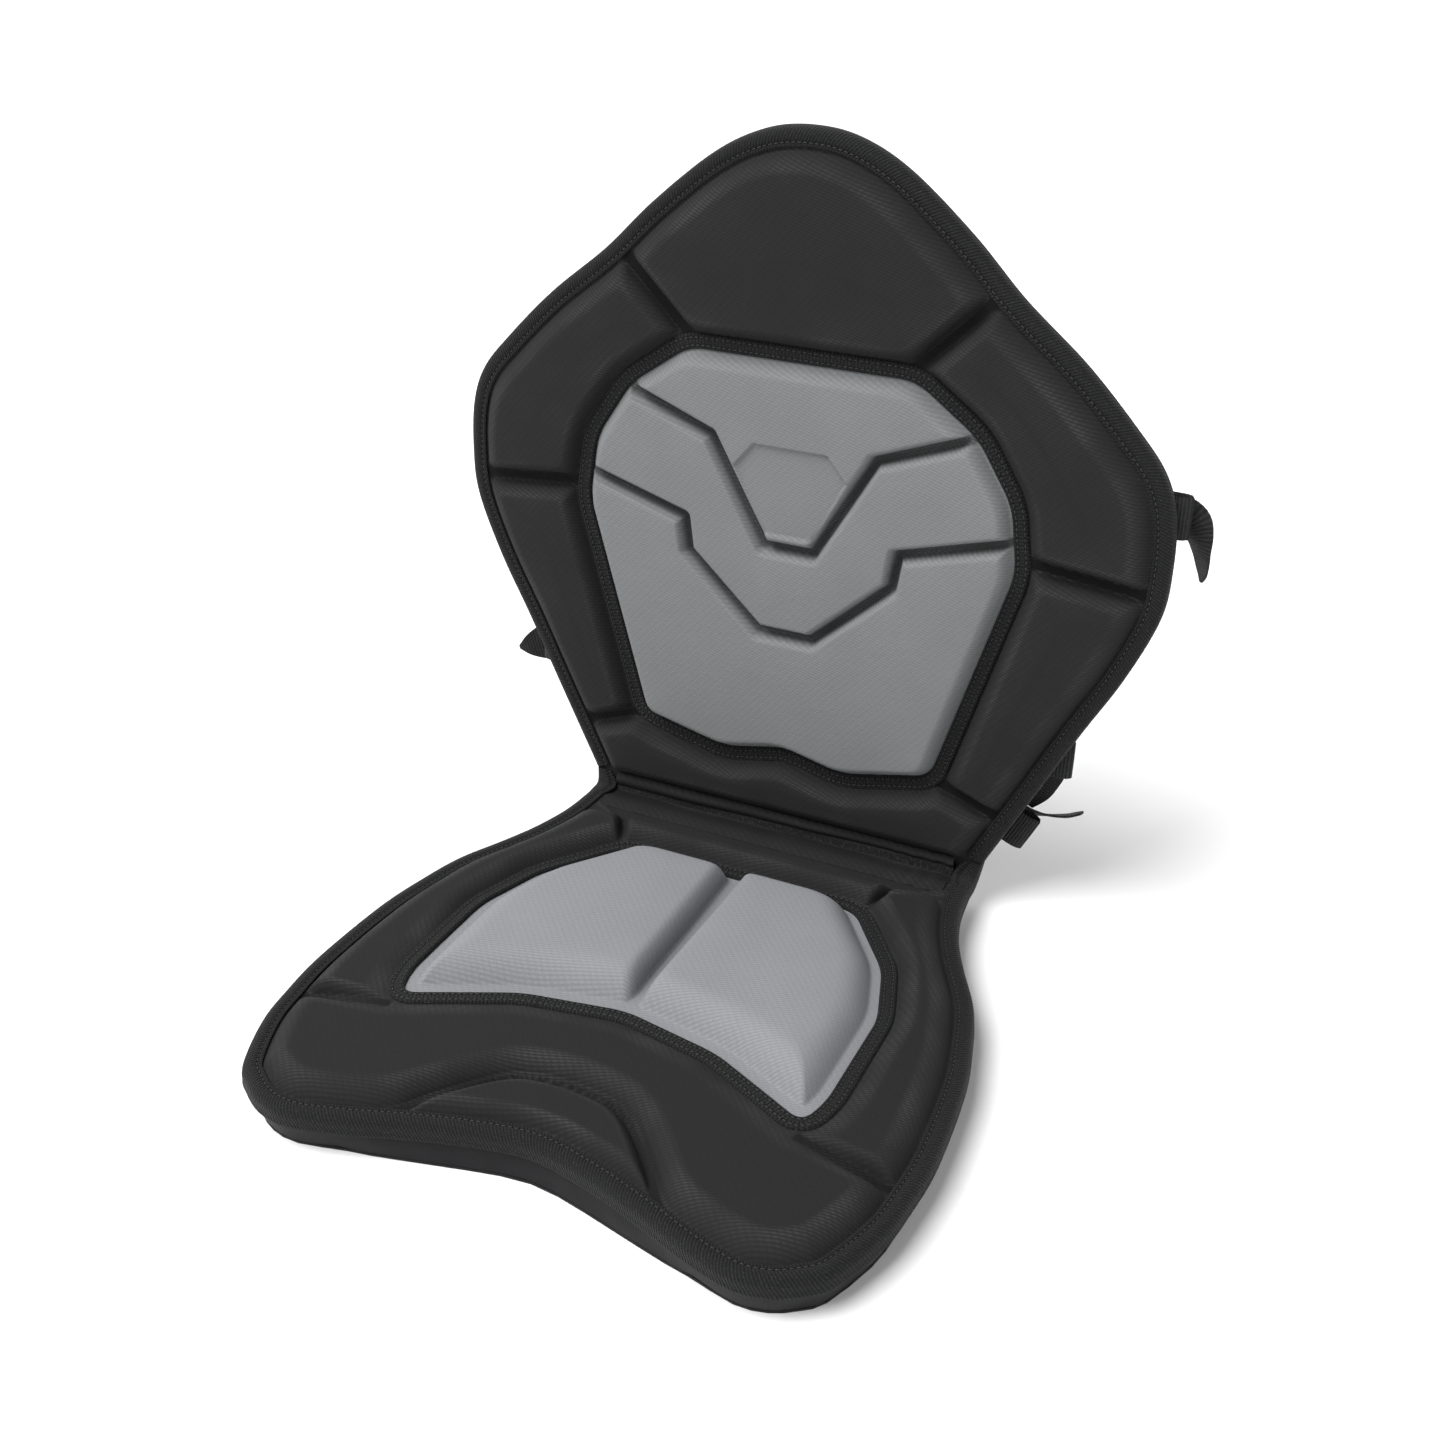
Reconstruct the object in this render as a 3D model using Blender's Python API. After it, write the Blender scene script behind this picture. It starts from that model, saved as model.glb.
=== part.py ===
"""Kayak seat: a moulded foam seat pad and a folding moulded backrest with four hook straps.

X is to the right, -Y is the front of the seat, +Z is up, in metres. The origin is the middle of
the underside. The backrest is modelled flat, with X across, Y up its height and Z out of its
front face, and is parented to an empty on the fold line that stands it up.
"""

import math

import bmesh
import bpy
from mathutils import Matrix

# Overall sizes
SEAT_WIDTH = 0.376
SEAT_LENGTH = 0.3525
BACK_WIDTH = 0.441
BACK_HEIGHT = 0.438
LEAN_DEG = 2.6

# The fold line between seat and backrest
FOLD_Y = 0.180
FOLD_Z = 0.021

# Clearances between sewn and seated pieces
GAP = 0.0003

# Thickness of the seat's layers, from the floor up
BOTTOM_COVER = 0.0015
SEAT_SHELL_TOP = 0.025
SEAT_SHELL = 0.004
SEAT_PAD_RISE = 0.010
GUSSET_WALL = 0.0018
FRONT_FLARE = 0.011
SIDE_TAPER = 0.004

# Thickness of the backrest's layers, from the front face back
BACK_SHELL = 0.004
STIFFENER = 0.0025
REAR_COVER = 0.002
BACK_PAD_RISE = 0.009
STIFFENER_INSET = 0.012

# Raised pads
PAD_MARGIN = 0.0105
SEAT_PAD_CLEAR = 0.018
BACK_PAD_CLEAR = 0.006
BACK_PAD_EDGE = 0.004
SEAT_PAD_EDGE = 0.0045
BACK_CHANNEL = 0.0085
SEAT_CHANNEL = 0.007
VALLEY = 0.009
PAD_SINK = 0.0005

# Binding tape round the edges and round the grey insets
TAPE = 0.001
EDGE_TAPE_WIDTH = 0.009
SEAT_TAPE_DROP = 0.009
INSET_TAPE_WIDTH = 0.009
TAPE_MARGIN = 0.002

# Grey insets
LEDGE_RISE = 0.005
SEAT_LOBE_RISE = 0.014
SEAT_LOBE_EDGE = 0.008
SEAT_LOBE_MARGIN = 0.0035
LOBE_GROOVE_REAR = 0.017
LOBE_GROOVE_FRONT = 0.012
BACK_BLOCK_RISE = 0.010
BACK_BLOCK_EDGE = 0.003
BACK_BLOCK_MARGIN = 0.0025
CHEVRON_GROOVE = 0.007
NOTCH_DEPTH = 0.0015
INSET_CORNER = 0.010

# Hinge strip
STRIP = 0.0012
STRIP_SEAT_LAP = 0.012
STRIP_BACK_LAP = 0.011
STRIP_DIP = 0.003

# Straps
WEBBING_WIDTH = 0.025
WEBBING = 0.0015
UPPER_STRAP_HEIGHT = 0.253
LOWER_STRAP_HEIGHT = 0.091
UPPER_STRAP_RUN = 0.145
LOWER_STRAP_RUN = 0.053
UPPER_STRAP_DROP = 0.153
LOWER_STRAP_DROP = 0.033
ANCHOR_OUT = 0.012
ANCHOR_IN = 0.030
TAIL_OUT = 0.026
BAR_RADIUS = 0.0018
BAR_GAP = 0.00035
BAR_EASE = 0.00005
LOCK_BAR_PITCH = 0.010
LOCK_SIDE = 0.003
LOCK_SETBACK = 0.011
HOOK_RING_RADIUS = 0.013
HOOK_RING_WALL = 0.0045
HOOK_NECK = 0.009
HOOK_THICKNESS = 0.0045
HOOK_SLIT = 0.0012
HOOK_SLIT_DEG = 35

# Outlines: shares of half the width and of the length or height
SEAT_OUTLINE = [
    (0.697, 0.045), (0.713, 0.119), (0.755, 0.193), (0.814, 0.261), (0.894, 0.343),
    (0.941, 0.426), (0.979, 0.525), (1.000, 0.681), (0.989, 0.780), (0.968, 0.851),
    (0.904, 0.939), (0.846, 0.970), (0.771, 0.993), (0.670, 1.000), (0.521, 0.980),
    (0.372, 0.952), (0.176, 0.921), (0.000, 0.906),
]
BACK_OUTLINE = [
    (0.587, 0.007), (0.612, 0.037), (0.667, 0.094), (0.744, 0.174), (0.830, 0.265),
    (0.921, 0.356), (0.989, 0.447), (1.000, 0.516), (0.989, 0.584), (0.950, 0.635),
    (0.866, 0.685), (0.730, 0.753), (0.562, 0.822), (0.422, 0.890), (0.254, 0.958),
    (0.122, 0.991), (0.000, 1.000),
]
SEAT_INSET = [
    (0.000, 0.610), (0.319, 0.641), (0.646, 0.723), (0.676, 0.667), (0.676, 0.454),
    (0.601, 0.326), (0.415, 0.193),
]
BACK_INSET = [
    (0.000, 0.142), (0.181, 0.121), (0.440, 0.151), (0.621, 0.475), (0.594, 0.566),
    (0.490, 0.648), (0.317, 0.710),
]

# Channel lines in the same shares: right half of each pair, or a whole run across the middle
SEAT_SIDE_CHANNEL = [(0.660, 0.752), (1.040, 0.778)]
SEAT_VALLEY = [(0.560, 1.050), (0.447, 0.965), (0.330, 0.877), (0.170, 0.797), (0.000, 0.780)]
BACK_CHANNELS = [
    [(0.310, 0.725), (0.600, 0.870)],
    [(0.600, 0.497), (1.050, 0.475)],
    [(0.390, 0.160), (0.680, 0.105)],
]
OUTER_CHEVRON = [(0.700, 0.533), (0.310, 0.476), (0.297, 0.428), (0.078, 0.327)]
INNER_CHEVRON = [(0.610, 0.672), (0.234, 0.600), (0.071, 0.455)]
NOTCH = [(0.071, 0.473), (0.163, 0.564), (0.105, 0.599)]

# Colours as linear red, green, blue, with roughness
BLACK_KNIT = ((0.031, 0.031, 0.031), 0.80)
GREY_KNIT = ((0.200, 0.210, 0.220), 0.85)
BLACK_TAPE = ((0.018, 0.019, 0.020), 0.70)
BLACK_NYLON = ((0.020, 0.020, 0.023), 0.60)
FOAM = ((0.060, 0.060, 0.060), 0.95)
BOARD = ((0.100, 0.100, 0.100), 0.45)
HARD_PLASTIC = ((0.020, 0.020, 0.020), 0.35)


def scaled(shares, width, length):
    """Turns shares of a half width and a length into metres."""
    return [(x * width / 2, y * length) for x, y in shares]


def both_sides(half):
    """Adds the left half to a right half that is listed from one end to the other."""
    left = [(-x, y) for x, y in reversed(half) if x > 0]
    return half + left


def softened(points, steps):
    """Runs a smooth curve through an open run of points, with this many steps a stretch."""
    ends = [points[0]] + points + [points[-1]]
    run = []
    for a, b, c, d in zip(ends, ends[1:], ends[2:], ends[3:]):
        for step in range(steps):
            t = step / steps
            run.append(tuple(
                0.5 * (2 * q + (r - p) * t + (2 * p - 5 * q + 4 * r - s) * t**2
                       + (3 * q - p - 3 * r + s) * t**3)
                for p, q, r, s in zip(a, b, c, d)
            ))
    return run + [points[-1]]


def turned_left(loop):
    """The loop in the anticlockwise sense."""
    area = sum(x0 * y1 - x1 * y0 for (x0, y0), (x1, y1) in zip(loop, loop[1:] + loop[:1]))
    return loop if area > 0 else loop[::-1]


def offset(loop, distance):
    """Moves a closed outline out by a distance, or in where it is negative."""
    loop = turned_left(loop)
    moved = []
    for (ax, ay), (bx, by), (cx, cy) in zip(loop[-1:] + loop[:-1], loop, loop[1:] + loop[:1]):
        first = math.hypot(bx - ax, by - ay)
        second = math.hypot(cx - bx, cy - by)
        nx1, ny1 = (by - ay) / first, (ax - bx) / first
        nx2, ny2 = (cy - by) / second, (bx - cx) / second
        share = distance / (1 + nx1 * nx2 + ny1 * ny2)
        moved.append((bx + (nx1 + nx2) * share, by + (ny1 + ny2) * share))
    return moved


def drawn_on(loop, reach):
    """A closed outline with its two end points drawn on past the straight edge between them."""
    first, last = unit(loop[1], loop[0]), unit(loop[-2], loop[-1])
    start = (loop[0][0] + first[0] * reach, loop[0][1] + first[1] * reach)
    end = (loop[-1][0] + last[0] * reach, loop[-1][1] + last[1] * reach)
    return [start] + loop[1:-1] + [end]


def rounded(loop, radius, steps=3):
    """Rounds the corners of a closed outline with arcs of about this radius."""
    loop = turned_left(loop)
    run = []
    for a, b, c in zip(loop[-1:] + loop[:-1], loop, loop[1:] + loop[:1]):
        back = math.hypot(a[0] - b[0], a[1] - b[1])
        ahead = math.hypot(c[0] - b[0], c[1] - b[1])
        cut = min(radius, 0.45 * back, 0.45 * ahead)
        start = [b[i] + (a[i] - b[i]) * cut / back for i in (0, 1)]
        end = [b[i] + (c[i] - b[i]) * cut / ahead for i in (0, 1)]
        for step in range(steps + 1):
            t = step / steps
            run.append(tuple(
                (1 - t) ** 2 * start[i] + 2 * t * (1 - t) * b[i] + t**2 * end[i]
                for i in (0, 1)
            ))
    return run


def band(path, width):
    """The closed outline of a strip of this width along an open path, mitred at its corners."""
    left, right = [], []
    for index, (x, y) in enumerate(path):
        before = path[max(index - 1, 0)]
        after = path[min(index + 1, len(path) - 1)]
        if index in (0, len(path) - 1):
            before_dir = after_dir = unit(before, after)
        else:
            before_dir, after_dir = unit(before, (x, y)), unit((x, y), after)
        nx, ny = -before_dir[1] - after_dir[1], before_dir[0] + after_dir[0]
        share = width / (2 + 2 * (before_dir[0] * after_dir[0] + before_dir[1] * after_dir[1]))
        left.append((x + nx * share, y + ny * share))
        right.append((x - nx * share, y - ny * share))
    return left + right[::-1]


def unit(a, b):
    """The unit direction from a to b."""
    length = math.hypot(b[0] - a[0], b[1] - a[1])
    return (b[0] - a[0]) / length, (b[1] - a[1]) / length


def arc(centre, radius, start_deg, end_deg, steps=5):
    """Points along an arc."""
    run = []
    for step in range(steps + 1):
        angle = math.radians(start_deg + (end_deg - start_deg) * step / steps)
        run.append((centre[0] + radius * math.cos(angle), centre[1] + radius * math.sin(angle)))
    return run


def mesh_object(name, mesh):
    """Puts a mesh in the scene as an object."""
    obj = bpy.data.objects.new(name, mesh)
    PARTS.objects.link(obj)
    return obj


def edit(obj, action):
    """Runs an action on the object's mesh as a bmesh and writes it back."""
    cage = bmesh.new()
    cage.from_mesh(obj.data)
    action(cage)
    cage.to_mesh(obj.data)
    cage.free()


def tidy(cage):
    """Joins loose caps to their sides and points all faces outwards."""
    bmesh.ops.remove_doubles(cage, verts=cage.verts, dist=1e-6)
    bmesh.ops.recalc_face_normals(cage, faces=cage.faces)


def prism(name, loops, low, high, turn=None):
    """A flat outline, with holes where more than one loop is given, filled and extruded."""
    curve = bpy.data.curves.new(name, "CURVE")
    curve.dimensions = "2D"
    curve.fill_mode = "BOTH"
    curve.extrude = (high - low) / 2
    for loop in loops:
        spline = curve.splines.new("POLY")
        spline.points.add(len(loop) - 1)
        for point, (x, y) in zip(spline.points, loop):
            point.co = (x, y, 0, 1)
        spline.use_cyclic_u = True
    guide = bpy.data.objects.new(name + "_outline", curve)
    PARTS.objects.link(guide)
    bpy.context.view_layer.update()
    graph = bpy.context.evaluated_depsgraph_get()
    mesh = bpy.data.meshes.new_from_object(guide.evaluated_get(graph))
    bpy.data.objects.remove(guide)
    bpy.data.curves.remove(curve)
    obj = mesh_object(name, mesh)
    place = Matrix.Translation((0, 0, (low + high) / 2))
    mesh.transform((turn or Matrix.Identity(4)) @ place)
    edit(obj, tidy)
    return obj


def tapered(name, sections):
    """A solid through outlines with as many points each, listed with their heights."""
    obj = mesh_object(name, bpy.data.meshes.new(name))

    def loft(cage):
        rings = [[cage.verts.new((x, y, z)) for x, y in loop] for loop, z in sections]
        for lower, upper in zip(rings, rings[1:]):
            sides = zip(lower, lower[1:] + lower[:1], upper[1:] + upper[:1], upper)
            for corners in sides:
                cage.faces.new(corners)
        cage.faces.new(rings[0][::-1])
        cage.faces.new(rings[-1])
        bmesh.ops.recalc_face_normals(cage, faces=cage.faces)

    edit(obj, loft)
    return obj


def bar(name, radius, length, place, sides=10):
    """A round bar along local Z, put in place by a matrix."""
    obj = mesh_object(name, bpy.data.meshes.new(name))

    def make(cage):
        bmesh.ops.create_cone(cage, cap_ends=True, segments=sides, radius1=radius,
                              radius2=radius, depth=length, matrix=place)

    edit(obj, make)
    return obj


def block(name, low, high):
    """A box between two corners."""
    obj = mesh_object(name, bpy.data.meshes.new(name))
    size = [b - a for a, b in zip(low, high)]
    middle = [(a + b) / 2 for a, b in zip(low, high)]
    place = Matrix.Translation(middle) @ Matrix.Diagonal((*size, 1))

    def make(cage):
        bmesh.ops.create_cube(cage, size=1, matrix=place)

    edit(obj, make)
    return obj


def combine(target, other, operation):
    """Applies a Boolean to the target's mesh and removes the other object."""
    modifier = target.modifiers.new(operation, "BOOLEAN")
    modifier.operation = operation
    modifier.object = other
    bpy.context.view_layer.update()
    graph = bpy.context.evaluated_depsgraph_get()
    mesh = bpy.data.meshes.new_from_object(target.evaluated_get(graph))
    target.modifiers.remove(modifier)
    old = target.data
    target.data = mesh
    bpy.data.meshes.remove(old)
    bpy.data.objects.remove(other)
    edit(target, lambda cage: bmesh.ops.remove_doubles(cage, verts=cage.verts, dist=1e-6))
    return target


def cut(target, cutter):
    """Cuts one object out of another."""
    return combine(target, cutter, "DIFFERENCE")


def join(target, other):
    """Joins one object to another."""
    return combine(target, other, "UNION")


def round_top(obj, level, radius, segments=2):
    """Rounds the rims of the flat faces at this level."""
    def action(cage):
        bmesh.ops.dissolve_limit(cage, angle_limit=0.01, verts=cage.verts, edges=cage.edges)
        rims = [
            edge for edge in cage.edges
            if all(abs(vert.co.z - level) < 1e-5 for vert in edge.verts)
            and any(abs(face.normal.z) < 0.5 for face in edge.link_faces)
        ]
        bmesh.ops.bevel(cage, geom=rims, offset=radius, segments=segments, profile=0.5,
                        affect="EDGES", clamp_overlap=True)
        tidy(cage)
        bmesh.ops.triangulate(cage, faces=cage.faces)

    edit(obj, action)


def dress(obj, name, finish, parent):
    """Names a finished piece, gives it its material and parents it."""
    obj.name = obj.data.name = name
    colour, roughness = finish
    material = bpy.data.materials.new(name)
    material.use_nodes = True
    shader = material.node_tree.nodes["Principled BSDF"]
    shader.inputs["Base Color"].default_value = (*colour, 1)
    shader.inputs["Roughness"].default_value = roughness
    shader.inputs["Metallic"].default_value = 0
    obj.data.materials.clear()
    obj.data.materials.append(material)
    obj.data.set_sharp_from_angle(angle=math.radians(35))
    obj.parent = parent
    return obj


def mirrored(obj, name, finish, parent):
    """A left-hand copy of a right-hand piece."""
    mesh = obj.data.copy()
    mesh.transform(Matrix.Diagonal((-1, 1, 1, 1)))
    copy = mesh_object(name, mesh)
    edit(copy, lambda cage: bmesh.ops.reverse_faces(cage, faces=cage.faces))
    return dress(copy, name, finish, parent)


def forward(points):
    """Seat outlines run forward from the fold line, towards -Y."""
    return [(x, FOLD_Y - y) for x, y in points]


def seat_loop(shares, steps=1):
    """A closed seat outline from its right half."""
    half = scaled(shares, SEAT_WIDTH, SEAT_LENGTH)
    return forward(softened(both_sides(half), steps))


def back_loop(shares, steps=1):
    """A closed backrest outline from its right half."""
    return softened(both_sides(scaled(shares, BACK_WIDTH, BACK_HEIGHT)), steps)


def across_middle(line):
    """A run over the middle from its right half, which is listed from the outer end inwards."""
    return line + [(-x, y) for x, y in reversed(line) if x > 0]


def seat_shell_outline():
    """The edge of the seat's moulded panel."""
    return turned_left(seat_loop(SEAT_OUTLINE, 2))


def seat_rear_edge():
    """The Y of the seat panel's straight rear edge."""
    return FOLD_Y - SEAT_OUTLINE[0][1] * SEAT_LENGTH


def seat_foot_outline():
    """The edge of the underside: in a little at the sides, out at the middle of the front."""
    edge = seat_shell_outline()
    inner = offset(edge, -SIDE_TAPER)
    foot = []
    for (x, y), (ix, iy) in zip(edge, inner):
        forward_share = max(0.0, (FOLD_Y - y) / SEAT_LENGTH - 0.85) / 0.15
        middle = max(0.0, 1 - (x / (0.27 * SEAT_WIDTH)) ** 2)
        foot.append((ix, iy - FRONT_FLARE * min(1.0, forward_share) ** 0.5 * middle))
    return foot


def seat_inset_outline():
    """The visible edge of the seat's grey inset."""
    loop = forward(both_sides(scaled(SEAT_INSET, SEAT_WIDTH, SEAT_LENGTH)))
    return rounded(loop, INSET_CORNER)


def back_inset_outline():
    """The visible edge of the backrest's grey inset."""
    return rounded(both_sides(scaled(BACK_INSET, BACK_WIDTH, BACK_HEIGHT)), INSET_CORNER)


def ring_tape(name, inner, level):
    """The flat binding tape round a grey inset."""
    outer = offset(inner, INSET_TAPE_WIDTH)
    return prism(name, [outer, inner], level + GAP, level + GAP + TAPE)


def seat_wall(name, foot, edge, inset, over):
    """The seat's side wall as a solid: sloping up to the binding, then upright to the panel."""
    low = BOTTOM_COVER + GAP
    knee = SEAT_SHELL_TOP - SEAT_TAPE_DROP - GAP
    high = SEAT_SHELL_TOP - SEAT_SHELL - GAP
    lower, upper = offset(foot, -inset), offset(edge, -inset)
    return tapered(name, [(lower, low - over), (upper, knee), (upper, high + over)])


def make_seat(root):
    """The seat pad's layers."""
    edge = seat_shell_outline()
    foot = seat_foot_outline()
    inset = seat_inset_outline()
    bottom = prism("bottom", [foot], 0, BOTTOM_COVER)
    dress(bottom, "seat_bottom_cover", BLACK_NYLON, root)

    wall = seat_wall("wall", foot, edge, 0, 0)
    cut(wall, seat_wall("hollow", foot, edge, GUSSET_WALL, GAP))
    dress(wall, "seat_side_gusset", BLACK_NYLON, root)
    core = seat_wall("core", foot, edge, GUSSET_WALL + 2 * GAP, 0)
    dress(core, "seat_foam_core", FOAM, root)

    dress(seat_top_panel(edge, inset), "seat_top_panel", BLACK_KNIT, root)
    ledge = SEAT_SHELL_TOP + LEDGE_RISE
    tape = ring_tape("tape", inset, ledge)
    dress(tape, "seat_inlay_binding", BLACK_TAPE, root)
    dress(seat_grey_pad(inset, ledge), "seat_grey_pad", GREY_KNIT, root)
    dress(seat_edge_tape(edge), "seat_edge_binding", BLACK_TAPE, root)


def seat_top_panel(edge, inset):
    """The black moulded panel: a flange, raised pads parted by channels, and the window."""
    window = offset(inset, INSET_TAPE_WIDTH / 2)
    top = SEAT_SHELL_TOP + SEAT_PAD_RISE
    rim = offset(edge, -PAD_MARGIN)
    pads = prism("pads", [rim, window], SEAT_SHELL_TOP - PAD_SINK, top)
    foot = seat_rear_edge() - STRIP_SEAT_LAP - SEAT_PAD_CLEAR
    cut(pads, block("rear", (-SEAT_WIDTH, foot, 0), (SEAT_WIDTH, SEAT_LENGTH, top + GAP)))
    side = forward(scaled(SEAT_SIDE_CHANNEL, SEAT_WIDTH, SEAT_LENGTH))
    for sign in (1, -1):
        line = [(sign * x, y) for x, y in side]
        cut(pads, prism("channel", [band(line, SEAT_CHANNEL)], 0, top + GAP))
    valley = forward(softened(scaled(across_middle(SEAT_VALLEY), SEAT_WIDTH, SEAT_LENGTH), 2))
    cut(pads, prism("valley", [band(valley, VALLEY)], 0, top + GAP))
    rebate = offset(inset, INSET_TAPE_WIDTH + TAPE_MARGIN)
    cut(pads, prism("rebate", [rebate], SEAT_SHELL_TOP + LEDGE_RISE, top + GAP))
    round_top(pads, top, SEAT_PAD_EDGE)
    shell = prism("shell", [edge, window], SEAT_SHELL_TOP - SEAT_SHELL, SEAT_SHELL_TOP)
    return join(shell, pads)


def seat_grey_pad(inset, ledge):
    """The grey inset with its two thigh lobes."""
    seated = offset(inset, INSET_TAPE_WIDTH / 2 - GAP)
    base = prism("base", [seated], SEAT_SHELL_TOP - SEAT_SHELL, ledge)
    top = ledge + SEAT_LOBE_RISE
    lobes = prism("lobes", [offset(inset, -SEAT_LOBE_MARGIN)], ledge - PAD_SINK, top)
    ys = [y for _, y in inset]
    rear, front = max(ys), min(ys)
    groove = [
        (-LOBE_GROOVE_FRONT / 2, front), (LOBE_GROOVE_FRONT / 2, front),
        (LOBE_GROOVE_REAR / 2, rear), (-LOBE_GROOVE_REAR / 2, rear),
    ]
    cut(lobes, prism("groove", [groove], 0, top + GAP))
    round_top(lobes, top, SEAT_LOBE_EDGE, 3)
    return join(base, lobes)


def seat_edge_tape(edge):
    """Binding over the seat's rim: a face on the flange and a drop down the side."""
    top = SEAT_SHELL_TOP + GAP + TAPE
    run = drawn_on(edge, 2 * EDGE_TAPE_WIDTH)
    tape = prism("tape", [offset(run, GAP + TAPE)], SEAT_SHELL_TOP - SEAT_TAPE_DROP, top)
    cut(tape, prism("side", [offset(run, GAP)], 0, SEAT_SHELL_TOP + GAP))
    cut(tape, prism("face", [offset(run, -EDGE_TAPE_WIDTH)], 0, top + GAP))
    rear = max(y for _, y in edge)
    return cut(tape, block("rear", (-SEAT_WIDTH, rear, 0), (SEAT_WIDTH, SEAT_LENGTH, top + GAP)))


def make_hinge_strip(root):
    """The fabric strip that joins the seat's rear edge to the backrest's foot, across the fold."""
    seat_rear = seat_rear_edge()
    lap = SEAT_SHELL_TOP + GAP + STRIP / 2
    lean = math.radians(LEAN_DEG)
    face = GAP + STRIP / 2
    foot = (FOLD_Y - face * math.cos(lean), FOLD_Z + face * math.sin(lean))
    climb = STRIP_BACK_LAP
    head = (foot[0] + climb * math.sin(lean), foot[1] + climb * math.cos(lean))
    middle = (FOLD_Y + seat_rear) / 2
    path = [
        (seat_rear - STRIP_SEAT_LAP, lap), (seat_rear + STRIP, lap),
        (middle, FOLD_Z), (foot[0] - STRIP, FOLD_Z - STRIP_DIP / 2), foot, head,
    ]
    waist = min(BACK_WIDTH * BACK_OUTLINE[0][0], SEAT_WIDTH * SEAT_OUTLINE[0][0]) / 2
    half = waist - EDGE_TAPE_WIDTH - TAPE_MARGIN
    across = Matrix(((0, 0, 1, 0), (1, 0, 0, 0), (0, 1, 0, 0), (0, 0, 0, 1)))
    strip = prism("strip", [band(path, STRIP)], -half, half, across)
    dress(strip, "hinge_strip", BLACK_TAPE, root)


def make_backrest(root):
    """The backrest's layers."""
    edge = turned_left(back_loop(BACK_OUTLINE, 2))
    inset = back_inset_outline()
    dress(back_front_panel(edge, inset), "back_front_panel", BLACK_KNIT, root)
    dress(back_grey_pad(inset), "back_grey_pad", GREY_KNIT, root)
    dress(ring_tape("tape", inset, 0), "back_inlay_binding", BLACK_TAPE, root)

    board_top = -BACK_SHELL - GAP
    board = prism("board", [offset(edge, -STIFFENER_INSET)], board_top - STIFFENER, board_top)
    dress(board, "back_stiffener", BOARD, root)
    cover_top = board_top - STIFFENER - GAP
    cover = prism("cover", [edge], cover_top - REAR_COVER, cover_top)
    dress(cover, "back_rear_cover", BLACK_NYLON, root)
    dress(back_edge_tape(edge), "back_edge_binding", BLACK_TAPE, root)


def back_rear_face():
    """How far behind the front flange the rear cover's outside lies."""
    return -(BACK_SHELL + STIFFENER + REAR_COVER + 2 * GAP)


def back_front_panel(edge, inset):
    """The black moulded panel: a flange, raised pads parted by channels, and the window."""
    pads_in = offset(inset, INSET_TAPE_WIDTH + TAPE_MARGIN)
    pads_out = offset(edge, -PAD_MARGIN)
    pads = prism("pads", [pads_out, pads_in], -PAD_SINK, BACK_PAD_RISE)
    foot = STRIP_BACK_LAP + BACK_PAD_CLEAR
    low, high = (-BACK_WIDTH, -BACK_HEIGHT, -BACK_SHELL), (BACK_WIDTH, foot, BACK_PAD_RISE + GAP)
    cut(pads, block("foot", low, high))
    for line in BACK_CHANNELS:
        for sign in (1, -1):
            run = [(sign * x, y) for x, y in scaled(line, BACK_WIDTH, BACK_HEIGHT)]
            channel = prism("channel", [band(run, BACK_CHANNEL)], -BACK_SHELL, BACK_PAD_RISE + GAP)
            cut(pads, channel)
    round_top(pads, BACK_PAD_RISE, BACK_PAD_EDGE)
    window = offset(inset, INSET_TAPE_WIDTH / 2)
    shell = prism("shell", [edge, window], -BACK_SHELL, 0)
    return join(shell, pads)


def back_grey_pad(inset):
    """The grey inset with its raised blocks, parted by two chevron grooves."""
    seated = offset(inset, INSET_TAPE_WIDTH / 2 - GAP)
    base = prism("base", [seated], -BACK_SHELL, 0)
    blocks = prism("blocks", [offset(inset, -BACK_BLOCK_MARGIN)], -PAD_SINK, BACK_BLOCK_RISE)
    for line in (OUTER_CHEVRON, INNER_CHEVRON):
        path = scaled(across_middle(line), BACK_WIDTH, BACK_HEIGHT)
        groove = prism("groove", [band(path, CHEVRON_GROOVE)], -BACK_SHELL, BACK_BLOCK_RISE + GAP)
        cut(blocks, groove)
    round_top(blocks, BACK_BLOCK_RISE, BACK_BLOCK_EDGE)
    notch = both_sides(scaled(NOTCH, BACK_WIDTH, BACK_HEIGHT))
    floor = BACK_BLOCK_RISE - NOTCH_DEPTH
    cut(blocks, prism("notch", [notch], floor, BACK_BLOCK_RISE + GAP))
    return join(base, blocks)


def back_edge_tape(edge):
    """Binding folded over the backrest's rim: a front face, the edge and a rear face."""
    front = GAP + TAPE
    rear = back_rear_face() - GAP - TAPE
    run = drawn_on(edge, 2 * EDGE_TAPE_WIDTH)
    tape = prism("tape", [offset(run, GAP + TAPE)], rear, front)
    cut(tape, prism("slot", [offset(run, GAP)], back_rear_face() - GAP, GAP))
    cut(tape, prism("face", [offset(run, -EDGE_TAPE_WIDTH)], rear - GAP, front + GAP))
    foot = min(y for _, y in edge)
    low, high = (-BACK_WIDTH, -BACK_HEIGHT, rear - GAP), (BACK_WIDTH, foot, front + GAP)
    return cut(tape, block("foot", low, high))


def edge_half_width(height):
    """Half the width of the backrest panel at a height."""
    points = scaled(BACK_OUTLINE, BACK_WIDTH, BACK_HEIGHT)
    for (x0, y0), (x1, y1) in zip(points, points[1:]):
        if y0 <= height <= y1:
            return x0 + (x1 - x0) * (height - y0) / (y1 - y0)
    return points[-1][0]


def sideways(origin_x, height):
    """Takes a profile's (out, depth) to the panel's X and Z, and its thickness along the height."""
    return Matrix.Translation((origin_x, height, 0)) @ Matrix(
        ((1, 0, 0, 0), (0, 0, 1, 0), (0, 1, 0, 0), (0, 0, 0, 1)))


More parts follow.
